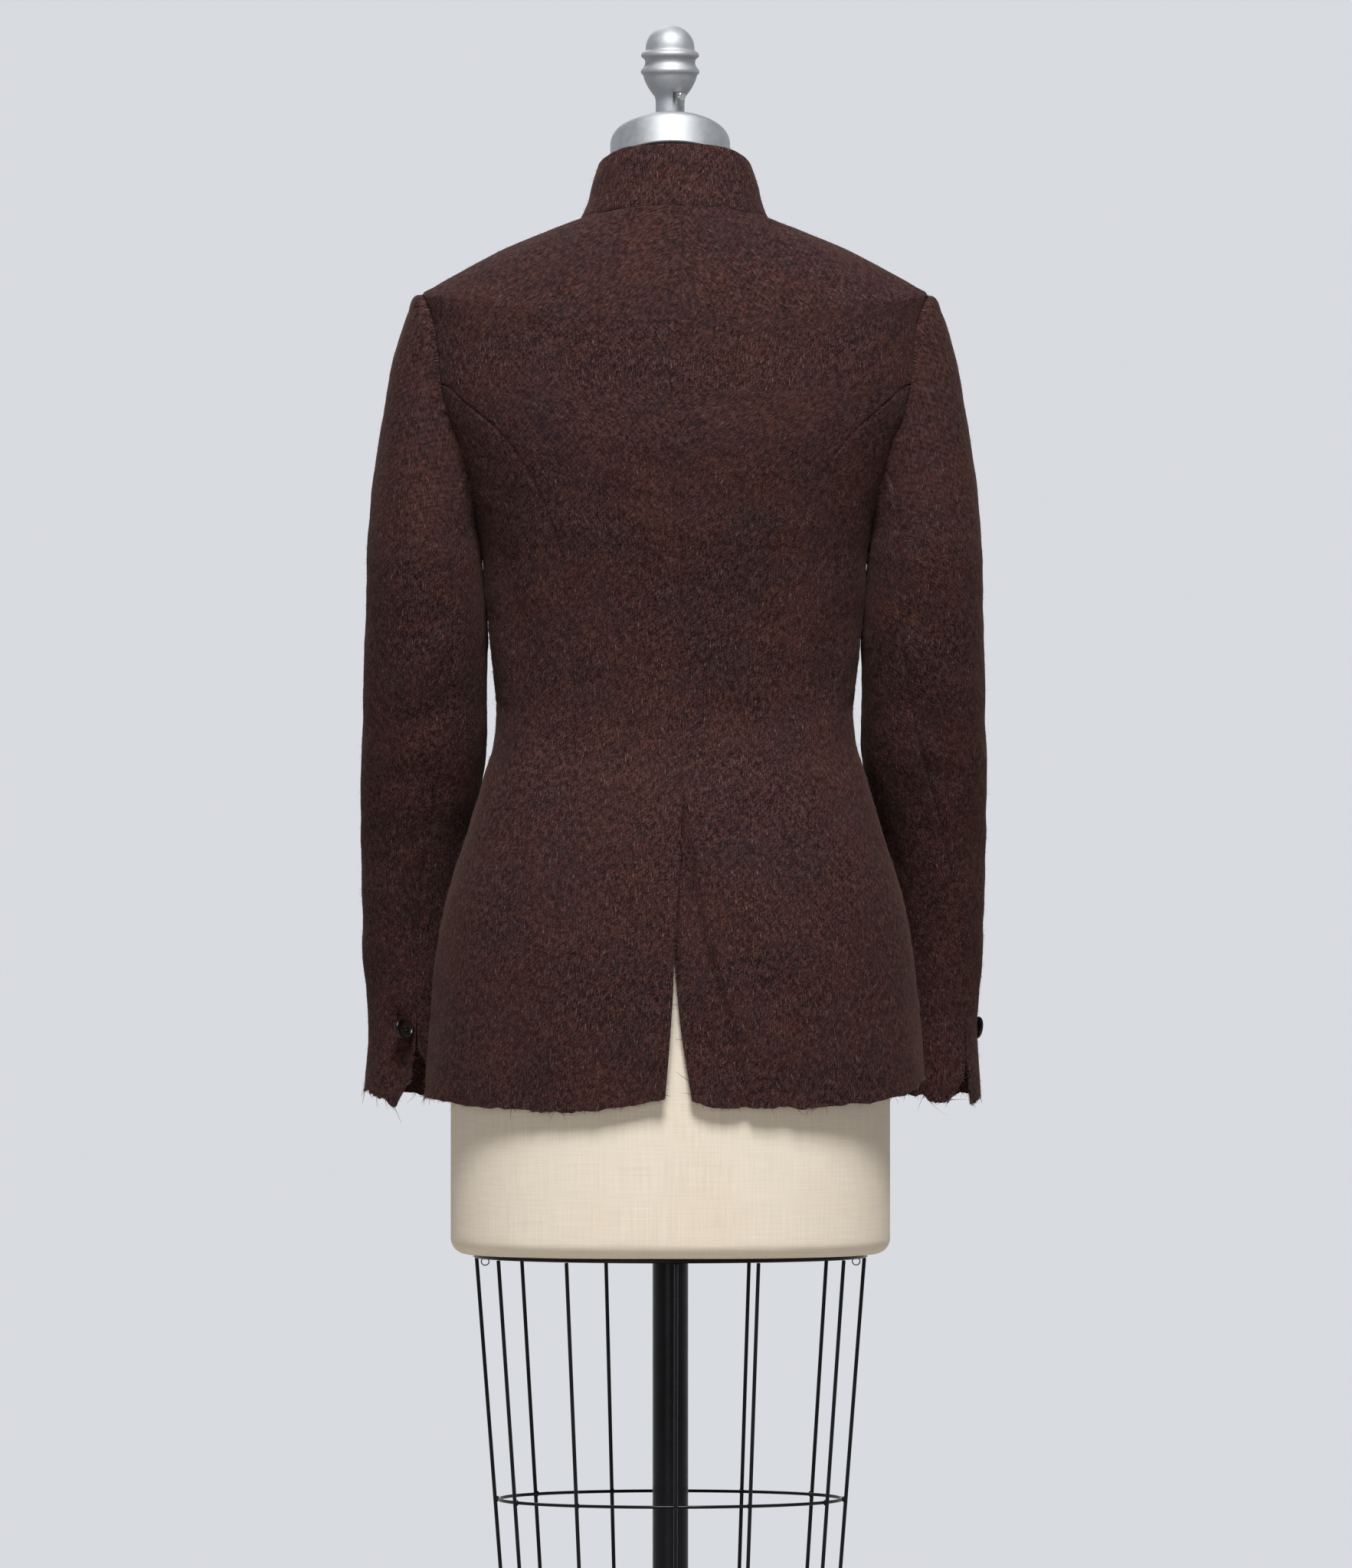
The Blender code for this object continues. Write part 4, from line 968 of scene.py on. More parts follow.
    def back(self, side: Side) -> None:
        """A back panel, from the centre back and the vent to the princess seam, armhole and shoulder."""
        runs = self.runs(0)
        centre = self.centre_back_angle(runs, side)
        princess = self.princess_angle(runs, side) + side.value * self.degrees_for(runs, centre, HALF_SEAM)
        outer = np.where(runs < SIDE_PANEL_TOP_RUN, self.side_angle(runs, side, False), princess)
        first, last = (outer, centre) if side is Side.LEFT else (centre, outer)
        points, out, from_first, from_last = self.panel(runs, first, last, self.back_width)
        from_centre, from_outer = (from_last, from_first) if side is Side.LEFT else (from_first, from_last)
        z = points[..., 2]
        sewn = smooth_step(z, VENT_TOP_Z - 6, VENT_TOP_Z + 8)
        sunk = self.sunk_seam(from_centre, z, 11) * sewn + self.sunk_seam(from_outer, z, 12)
        sunk = sunk + self.sunk_seam(np.broadcast_to(runs, z.shape), points[..., 0], 13)
        unsewn = 1 - smooth_step(z, *VENT_LAP_Z)
        if side is Side.RIGHT:
            sunk = sunk + VENT_STEP * smooth_step(points[..., 0], *VENT_LAP_X) * unsewn
            tuck = columns_of(VENT_TUCK, "z")
            ends = points[..., 0] - tuck["x"].read(z)
            fall = smooth_step(ends, -1.0, 4.5) - 0.5 * smooth_step(ends, 6, 18)
            sunk = sunk + tuck["depth"].read(z) * fall * (z < VENT_TUCK[0].z)
            under_lap = smooth_step(points[..., 0] - self.vent["left_x"].read(z), -4.5, -0.8)
            sunk = sunk + self.under_lap * under_lap * unsewn
        else:
            sunk = sunk - self.lap_lift * np.exp(-((from_centre / self.lap_lift_width) ** 2)) * unsewn
        points = self.ragged(points - out * sunk[..., None], runs, 15 + side.value)
        column = -1 if side is Side.LEFT else 0
        low = z[:, column] < self.vent_frays_below
        inward = 1 if column == 0 else -2
        vent_edge = Fringe(points[low, column], unit(points[low, column] - points[low, inward]), 0.5)
        self.make_up(f"back_{side.word}", points, 21 + side.value, vent_edge)

    def side_back(self, side: Side) -> None:
        """A side back panel, from the princess seam to the armhole and the side seam."""
        runs = self.runs(SIDE_PANEL_TOP_RUN)
        princess = self.princess_angle(runs, side)
        princess = princess - side.value * self.degrees_for(runs, princess, HALF_SEAM)
        edge = self.side_angle(runs, side, False)
        first, last = (edge, princess) if side is Side.LEFT else (princess, edge)
        points, out, from_first, from_last = self.panel(runs, first, last, self.side_back_width)
        z = points[..., 2]
        sunk = self.sunk_seam(from_first, z, 31) + self.sunk_seam(from_last, z, 32)
        points = self.ragged(points - out * sunk[..., None], runs, 15 + side.value)
        self.make_up(f"side_back_{side.word}", points, 41 + side.value)

    def front(self, side: Side) -> None:
        """A front panel, lapped at the centre front."""
        runs = self.runs(0)
        middle = np.full_like(runs, 270.0)
        centre = middle - side.value * self.degrees_for(runs, middle, FRONT_LAP)
        edge = self.side_angle(runs, side, True)
        first, last = (centre, edge) if side is Side.LEFT else (edge, centre)
        points, out, from_first, from_last = self.panel(runs, first, last, self.front_width)
        from_centre, from_edge = (from_first, from_last) if side is Side.LEFT else (from_last, from_first)
        z = points[..., 2]
        sunk = self.sunk_seam(from_edge, z, 51)
        sunk = sunk + self.sunk_seam(np.broadcast_to(runs, z.shape), points[..., 0], 52)
        if side is Side.LEFT:
            sunk = sunk + FRONT_STEP * (1 - smooth_step(points[..., 0], *FRONT_LAP_X))
        sunk = sunk + 0.35 * np.exp(-((np.abs(from_centre - self.front_stitch) / 1.1) ** 2))
        points = self.ragged(points - out * sunk[..., None], runs, 15 + side.value)
        column, inward = (0, 1) if side is Side.LEFT else (-1, -2)
        front_edge = Fringe(points[8:, column], unit(points[8:, column] - points[8:, inward]), 0.4)
        self.make_up(f"front_{side.word}", points, 61 + side.value, front_edge)

    def build(self) -> None:
        """Builds the six panels."""
        for side in Side:
            self.back(side)
            self.side_back(side)
            self.front(side)


@dataclass
class Sleeve:
    """A set-in sleeve in two pieces, upper and under, with an open frayed cuff."""

    bodice: Bodice
    side: Side
    row_step: float = 3.8
    column_step: float = 2.8
    flat_degree: float = 0.75
    sewn: tuple[float, float] = (775, 800)
    vent_frays_below: float = 770
    rings: dict[str, Curve] = field(default_factory=lambda: columns_of(SLEEVE_RINGS, "z"))
    cap_line: Curve = field(default_factory=lambda: columns_of(CAP_LINE, "down")["out"])
    vent: dict[str, Curve] = field(default_factory=lambda: columns_of(CUFF_VENT, "z"))

    def __post_init__(self) -> None:
        """Works out the armhole's height and the angles of the seams."""
        side_z = self.bodice.levels["side_z"]
        self.tip_z, self.underarm_z = (float(side_z.read(run)) for run in (TIP_RUN, UNDERARM_RUN))
        self.middle = (self.tip_z + self.underarm_z) / 2
        self.run_steps = np.linspace(UNDERARM_RUN, TIP_RUN, 900)
        self.z_steps = side_z.read(self.run_steps)
        self.back_seam = self.angle_of(BACK_SEAM_RUN)
        self.front_seam = self.angle_of(FRONT_SEAM_RUN)

    def angle_of(self, run: float) -> float:
        """Angle round the sleeve of one level of the armhole: 0 the outer line, 180 the inner line."""
        z = float(self.bodice.levels["side_z"].read(run))
        up = 2 * (z - self.middle) / (self.tip_z - self.underarm_z)
        return math.degrees(math.acos(min(1, max(-1, up))))

    def ring_points(self, angle: Array, z: Array) -> Array:
        """The sleeve below the armhole, before its folds."""
        at = {name: line.read(z) for name, line in self.rings.items()}
        turn = np.radians(angle)
        x = self.side.value * (at["centre_x"] + at["half_width"] * np.cos(turn))
        y = at["centre_y"] + at["half_depth"] * np.sin(turn)
        return np.stack(np.broadcast_arrays(x, y, z), axis=-1)

    def cap_points(self, angle: Array, share: Array) -> Array:
        """The sleeve cap: the armhole's edge at share 0, the first whole ring at share 1."""
        turn = np.mod(angle + 180, 360) - 180
        height = self.middle + (self.tip_z - self.middle) * np.cos(np.radians(turn))
        run = np.interp(height, self.z_steps, self.run_steps)
        behind, before = (self.bodice.side_angle(run, self.side, front) for front in (False, True))
        edge, out_of_it = self.bodice.surface(np.where(turn >= 0, behind, before), run)
        edge = edge - out_of_it * self.bodice.seam_depth
        centre = np.stack(np.broadcast_arrays(edge[..., 0], ARM_Y, self.middle), axis=-1)
        inward = unit(centre - edge)
        start = edge + inward * ARMHOLE_GAP + np.array((self.side.value * ARMHOLE_GAP, 0, 0))
        end = self.ring_points(turn, np.full(np.shape(turn), FIRST_RING_Z))
        over = np.sin(math.pi * np.minimum(1, share / ROPE_SHARE))
        rope = ROPE * np.maximum(0, np.cos(np.radians(turn))) * over
        out = self.cap_line.read(share)
        return np.stack(np.broadcast_arrays(
            start[..., 0] + (end[..., 0] - start[..., 0]) * out,
            start[..., 1] + (end[..., 1] - start[..., 1]) * (1 - (1 - share) ** CAP_ROUNDNESS),
            start[..., 2] + (end[..., 2] - start[..., 2]) * share + rope,
        ), axis=-1)

    def twisted(self, angle: Array, z: Array) -> Array:
        """A column's angle at a height: the back seam turns outward on the way to the cuff."""
        near = 0.5 + 0.5 * np.cos(np.radians(angle - self.back_seam))
        fall = smooth_step(FIRST_RING_Z - z, 0, FIRST_RING_Z - CUFF_Z)
        return angle - SEAM_TWIST[self.side.value] * near * fall

    def slid(self, angle: Array, seam: float, way: int, distance: Array) -> Array:
        """Slides the columns beside a seam away from it, by a distance at the seam and less behind it."""
        away = np.maximum(0, (angle - seam) * way * self.flat_degree)
        moved = away + distance * np.maximum(0, 1 - away / (3 * distance)) ** 2
        return seam + way * moved / self.flat_degree

    def laid_out(
        self, word: str, first: float, last: float, seam_way: int, seed: int,
    ) -> tuple[Array, Array]:
        """Points of one piece of the sleeve before its folds, and each one's angle round the sleeve."""
        angle = first + (last - first) * stations((last - first) * 0.8, self.column_step)[None, :]
        shares = np.concatenate([np.linspace(0, 0.06, 10), np.linspace(0.072, 1, 58)])[:, None]
        heights = np.arange(FIRST_RING_Z - self.row_step, CUFF_Z + 8, -self.row_step)
        heights = np.concatenate([heights, CUFF_Z + np.array((6, 4, 2.2, 1, 0))])[:, None]
        fixed, other = (first, last) if seam_way > 0 else (last, first)
        gap = np.full_like(shares, HALF_SEAM)
        top = self.slid(self.slid(angle, fixed, seam_way, gap), other, -seam_way, gap)
        gap = np.full_like(heights, HALF_SEAM)
        open_by = self.vent[word].read(heights)
        low = self.slid(self.slid(angle, fixed, seam_way, open_by), other, -seam_way, gap)
        low = self.twisted(low, heights)
        turn = np.mod(np.concatenate([top, low]) + 180, 360) - 180
        edge = columns_of(CUFF_EDGE[self.side.value], "angle")["z"].read(turn[len(top):])
        across = low * self.flat_degree
        ragged = 1.1 * ripples(across, low * 0, 14, seed) + 0.9 * ripples(across, low * 0, 4, seed + 1)
        drop = (edge - CUFF_Z) * (1 - smooth_step(heights, CUFF_Z, CUFF_Z + 55))
        drop = drop + ragged * (1 - smooth_step(heights, CUFF_Z, CUFF_Z + 10))
        arm = self.ring_points(low, np.broadcast_to(heights, low.shape))
        arm[..., 2] += drop
        return np.concatenate([self.cap_points(top, shares), arm]), turn

    def depth_at(self, points: Array, turn: Array, seam_way: int, seed: int) -> Array:
        """How far the folds, creases and seams press each point of a piece in."""
        z = points[..., 2]
        below = 1 - smooth_step(z, FIRST_RING_Z - 6, FIRST_RING_Z + 20)
        folds, creases = (pressed(some, turn, z, SLEEVE_DEGREE) for some in (SLEEVE_FOLDS, SLEEVE_CREASES))
        depth = (folds + creases) * below
        depth = depth + 0.3 * ripples(turn, z, 40, seed + 2) + 0.14 * ripples(turn, z, 15, seed + 3)
        if self.side is Side.LEFT:
            depth = depth + pressed([CUFF_HOLLOW], turn, z, SLEEVE_DEGREE)
        inner = np.maximum(0, -np.cos(np.radians(turn))) ** 1.4
        depth = depth - inner * columns_of(INNER_FULNESS, "z")["out"].read(z)
        from_first = run_along(points, 1)
        from_last = from_first[:, -1:] - from_first
        at_back, at_front = (from_first, from_last) if seam_way > 0 else (from_last, from_first)
        depth = depth + self.bodice.sunk_seam(at_back, z, seed + 4) * smooth_step(z, *self.sewn)
        return depth + self.bodice.sunk_seam(at_front, z, seed + 5)

    def piece(self, word: str, first: float, last: float, seam_way: int, seed: int) -> None:
        """Makes one piece of the sleeve.

        Args:
            word: upper or under.
            first: angle of its first seam.
            last: angle of its last seam.
            seam_way: 1 where the back seam is its first edge, -1 where it is its last.
            seed: picks its waves and fibres.
        """
        points, turn = self.laid_out(word, first, last, seam_way, seed)
        depth = self.depth_at(points, turn, seam_way, seed)
        column, inward = (0, 1) if seam_way > 0 else (-1, -2)
        vent = points[:, column, 2] < self.vent_frays_below
        points = points - normals_of(points, self.side.value) * depth[..., None]
        raw = [
            Fringe(points[-1], unit(points[-1] - points[-4]), 1.5),
            Fringe(points[vent, column], unit(points[vent, column] - points[vent, inward]), 1.0),
        ]
        pattern = Pattern(f"sleeve_{word}_{self.side.word}", points, turned=self.side is Side.RIGHT)
        out = normals_of(points, self.side.value)
        self.bodice.cloth.make(pattern, out, raw=raw, rests_on=UNDERNEATH, seed=seed + 6)

    def build(self) -> None:
        """Builds the upper and the under sleeve."""
        seed = 100 if self.side is Side.LEFT else 140
        self.piece("upper", -self.front_seam, self.back_seam, -1, seed)
        self.piece("under", self.back_seam, 360 - self.front_seam, 1, seed + 20)


@dataclass
class Collar:
    """The stand collar, open at the centre front."""

    cloth: Cloth
    columns: int = 150
    rows: int = 34
    height: float = 52
    degree: float = 1.15

    def ring(self, share: Array, angle: Array) -> Array:
        """Points of the collar's face at shares of its height."""
        at = {name: line.read(share) for name, line in columns_of(COLLAR_RINGS, "share").items()}
        across, along = np.cos(np.radians(angle)), np.sin(np.radians(angle))
        behind = along > 0
        y = np.where(behind, at["back"], at["front"]) * along + at["centre_y"]
        rise = np.where(behind, at["back_z"], at["front_z"]) - at["side_z"]
        square = np.where(behind, 1 - (1 - np.abs(along)) ** 1.5, np.abs(along))
        z = at["side_z"] + rise * (np.abs(along) ** 1.5 * (1 - share) + square * share)
        return np.stack(np.broadcast_arrays(at["half_width"] * across, y, z), axis=-1)

    def build(self) -> None:
        """Builds the collar, its upper edge turned in."""
        turn = 360 - 2 * COLLAR_OPENING
        angle = (COLLAR_OPENING - 90 + turn * np.linspace(0, 1, self.columns))[None, :]
        close = np.array([0.0, 0.004, 0.012, 0.025, 0.04])
        share = np.concatenate([1 - close, np.linspace(0.94, 0.06, self.rows), close[::-1]])[:, None]
        points = self.ring(share, angle)
        out = normals_of(points)
        across, up = angle * self.degree, share * self.height
        rounded = 1.2 * np.exp(-(((1 - share) * self.height / 0.9) ** 2))
        low = 0.9 * np.exp(-((up / 1.8) ** 2))
        wave = 0.35 * ripples(across, up, 34, 71) + 0.15 * ripples(across, up, 12, 72)
        points = points - out * (rounded + low + wave)[..., None]
        pattern = Pattern("collar", points)
        self.cloth.make(pattern, normals_of(points), thick=COLLAR_CLOTH, rests_on=UNDERNEATH, seed=75)


class Turn(NamedTuple):
    """One step of a turned profile: radius at a height."""

    radius: float
    z: float


def lathe(
    name: str, profile: Sequence[tuple[float, float]], centre: tuple[float, float] = (0, 0), sides: int = 96,
) -> Object:
    """Turns a closed solid by extruding a ring step by step down its profile.

    Args:
        name: the object's name.
        profile: radius and height of its steps from the top down, without the closing centre points.
        centre: the axis, as x and y.
        sides: flat sides of the ring.

    Returns:
        The solid, its place in its mesh.
    """
    axis = Vector((centre[0], centre[1], 0)) * MM
    steps = rows_of(Turn, *profile)
    bpy.ops.object.select_all(action="DESELECT")
    bpy.ops.mesh.primitive_circle_add(
        vertices=sides, radius=steps[0].radius * MM, fill_type="NGON",
        location=axis + Vector((0, 0, steps[0].z * MM)),
    )
    item = bpy.context.object
    item.name = item.data.name = name
    bpy.ops.object.mode_set(mode="EDIT")
    bpy.ops.mesh.select_all(action="SELECT")
    bpy.ops.mesh.select_mode(type="FACE")
    for before, after in zip(steps, steps[1:]):
        rise = (0, 0, (after.z - before.z) * MM)
        bpy.ops.mesh.extrude_region_move(TRANSFORM_OT_translate={"value": rise})
        size = after.radius / before.radius
        middle = axis + Vector((0, 0, after.z * MM))
        bpy.ops.transform.resize(value=(size, size, 1), center_override=middle)
    bpy.ops.mesh.select_all(action="SELECT")
    bpy.ops.mesh.normals_make_consistent(inside=False)
    bpy.ops.object.mode_set(mode="OBJECT")
    settle(item)
    return item


def settle(item: Object) -> None:
    """Puts an object's place and turn into its mesh, and smooths its round sides."""
    use_only(item)
    bpy.ops.object.transform_apply(location=True, rotation=True, scale=True)
    smooth(40)


def bevelled(item: Object, width: float, segments: int = 2) -> None:
    """Rounds the sharp edges of a solid."""
    bevel = item.modifiers.new("edge", "BEVEL")
    bevel.width = width * MM
    bevel.segments = segments
    bevel.limit_method = "ANGLE"
    bevel.angle_limit = math.radians(40)
    use_only(item)
    bpy.ops.object.modifier_apply(modifier=bevel.name)
    smooth(40)


def facing(way: Vector, spin: float) -> Matrix:
    """A turn that points +Z along a way, after a spin about it in degrees."""
    return way.to_track_quat("Z", "Y").to_matrix().to_4x4() @ Matrix.Rotation(math.radians(spin), 4, "Z")


def block(size: tuple[float, float, float], place: Matrix) -> Object:
    """A block to cut with, of a size in millimetres, put in its place."""
    bpy.ops.object.select_all(action="DESELECT")
    bpy.ops.mesh.primitive_cube_add(size=1, location=(0, 0, 0))
    item = bpy.context.object
    item.data.transform(Matrix.Diagonal((*(side * MM for side in size), 1)))
    item.data.transform(place)
    return item


def carve(item: Object, tool: Object) -> None:
    """Cuts a tool's shape out of a solid, and removes the tool."""
    cut = item.modifiers.new("cut", "BOOLEAN")
    cut.operation = "DIFFERENCE"
    cut.object = tool
    use_only(item)
    bpy.ops.object.modifier_apply(modifier=cut.name)
    bpy.data.objects.remove(tool)


def rod(name: str, start: Vector, end: Vector, radius: float, sides: int = 20) -> Object:
    """A straight round rod between two points in millimetres."""
    way = end - start
    bpy.ops.object.select_all(action="DESELECT")
    bpy.ops.mesh.primitive_cylinder_add(
        vertices=sides, radius=radius * MM, depth=way.length * MM, location=(start + end) / 2 * MM,
        rotation=way.to_track_quat("Z", "Y").to_euler(),
    )
    item = bpy.context.object
    item.name = item.data.name = name
    settle(item)
    return item


def hoop(name: str, points: Sequence[Vector], radius: float, cyclic: bool = True) -> Object:
    """A round wire along points in millimetres, made a mesh.

    Args:
        name: the object's name.
        points: what it runs through.
        radius: half its thickness.
        cyclic: whether it closes on itself.

    Returns:
        The wire's mesh object.
    """
    curve = bpy.data.curves.new(name, "CURVE")
    curve.dimensions = "3D"
    curve.bevel_depth = radius * MM
    curve.bevel_resolution = 3
    curve.use_fill_caps = not cyclic
    spline = curve.splines.new("POLY")
    spline.points.add(len(points) - 1)
    for target, point in zip(spline.points, points):
        target.co = (*(point * MM), 1.0)
    spline.use_cyclic_u = cyclic
    use_only(linked(name, curve))
    bpy.ops.object.convert(target="MESH")
    smooth(50)
    return bpy.context.object


def merged(name: str, items: Sequence[Object]) -> Object:
    """Joins objects into one mesh under one name."""
    bpy.ops.object.select_all(action="DESELECT")
    for item in items:
        item.select_set(True)
    bpy.context.view_layer.objects.active = items[0]
    bpy.ops.object.join()
    whole = bpy.context.object
    whole.name = whole.data.name = name
    return whole


@dataclass
class Buttons:
    """Turned horn buttons with four holes and their thread, on the front and on each cuff."""

    bodice: Bodice
    sleeves: dict[Side, Sleeve]
    horn: Material
    thread: Material
    radius: float = 9.0
    thick: float = 4.0
    clear: float = 0.7
    hole_radius: float = 0.95
    hole_spread: float = 1.75
    yarn_radius: float = 0.26
    stem_length: float = 5.2
    buttonhole_half: float = 9.5
    buttonhole_end: float = 1.1
    buttonhole_shift: float = -6.5
    purls: int = 84
    purl: float = 0.25

    def disc(self, name: str) -> Object:
        """One button lying on the origin, its face up, with a raised rim and a dished middle."""
        top, r = self.thick, self.radius
        profile = [
            (0.6, top - 1.5), (3.0, top - 1.45), (5.2, top - 1.1), (6.2, top - 0.45),
            (6.9, top - 0.08), (7.6, top), (8.3, top - 0.25), (8.8, top - 0.9), (r, top - 1.7),
            (8.8, top - 2.5), (8.0, 0.9), (6.0, 0.35), (3.4, 0.0), (0.6, 0.0),
        ]
        item = lathe(name, profile, sides=64)
        for n in range(4):
            turn = math.radians(45 + 90 * n)
            x, y = self.hole_spread * math.cos(turn), self.hole_spread * math.sin(turn)
            carve(item, rod("drill", Vector((x, y, -1)), Vector((x, y, top + 1)), self.hole_radius, 20))
        smooth(35)
        return item

    def threads(self, name: str) -> Object:
        """The sewing thread in the button's holes and the shank under it."""
        s, high = self.hole_spread * math.sqrt(0.5), self.thick - 1.2
        bars = []
        for n, y in enumerate((-s, s)):
            for m in range(3):
                over, shift = high + 0.28 + 0.05 * m, (m - 1) * 0.42
                steps = [(s, 0.4), (s, high - 0.5), (s * 0.8, over)]
                path = [(-x, z) for x, z in steps] + [(0, over + 0.12)] + steps[::-1]
                path = [Vector((x, y + shift, z)) for x, z in path]
                bars.append(hoop(f"bar_{n}_{m}", path, self.yarn_radius, cyclic=False))
        bars.append(rod("shank", Vector((0, 0, -self.clear - 0.3)), Vector((0, 0, 0.3)), 1.5, 16))
        return merged(name, bars)

    def place(self, item: Object, point: Vector, face: Vector, spin: float) -> None:
        """Sets a piece that was made at the origin onto the cloth.

        Args:
            item: the piece.
            point: where it sits.
            face: the way that its face looks.
            spin: its turn about that way, in degrees.
        """
        item.data.transform(Matrix.Translation((point + face * self.clear) * MM) @ facing(face, spin))

    def sew(self, node: str, point: Vector, out: Vector, spin: float, lean: Vector | None = None) -> None:
        """Makes and places one button with its thread.

        Args:
            node: the button's solid.
            point: where it sits on the cloth.
            out: the way out of the cloth.
            spin: its turn about that way, in degrees.
            lean: how far a loosely sewn one tips over, as a sideways part of its face's way.
        """
        face = out if lean is None else (out + lean).normalized()
        lift = out * (0.0 if lean is None else self.stem_length * lean.length)
        button = self.disc(f"{node}_horn")
        self.place(button, point + lift, face, spin)
        keep(button, self.horn, [node])
        thread = self.threads(f"{node}_thread")
        self.place(thread, point + lift, face, spin)
        if lean is not None:
            thread = merged(thread.name, [thread, rod("stem", point - out, point + lift + face, 1.3, 16)])
        keep(thread, self.thread)

    def buttonhole(self, name: str, point: Vector, out: Vector) -> None:
        """A worked buttonhole from the button towards the front edge, its purls lying on the cloth."""
        half, path = self.buttonhole_half, []
        right = Vector((0, 0, 1)).cross(out).normalized()
        up = out.cross(right)
        for n in range(self.purls):
            share = 2 * math.pi * n / self.purls
            x = max(-half, min(half, half * 1.6 * math.cos(share)))
            y = self.buttonhole_end * math.copysign(min(1, abs(math.sin(share)) * 1.7), math.sin(share))
            y += math.copysign(self.purl * (n % 2), y)
            path.append(point + right * (x * 0.98 + self.buttonhole_shift) + up * y + out * 0.25)
        item = hoop(name, path, 0.42)
        keep(item, self.thread)

    def build(self) -> None:
        """Sews on the five front buttons and the two cuff buttons."""
        first, last = BUTTON_RUNS
        for n in range(BUTTON_COUNT):
            run = np.array(first + (last - first) * n / (BUTTON_COUNT - 1))
            points, outs = self.bodice.surface(np.array(270.0), run, fine=False)
            point, out = Vector(points), Vector(outs)
            self.sew(f"front_button_{n + 1}", point, out, 7 * n - 12)
            self.buttonhole(f"buttonhole_{n + 1}", point, out)
        for side, sleeve in self.sleeves.items():
            angle, z = np.array(CUFF_BUTTON_ANGLE[side.value]), np.array(CUFF_BUTTON_Z)
            along = sleeve.ring_points(angle + 2, z) - sleeve.ring_points(angle - 2, z)
            down = sleeve.ring_points(angle, z - 5) - sleeve.ring_points(angle, z + 5)
            out = Vector(side.value * np.cross(down, along)).normalized()
            lean = Vector(CUFF_BUTTON_LEAN[side.value])
            self.sew(f"cuff_button_{side.word}", Vector(sleeve.ring_points(angle, z)), out, 20, lean)


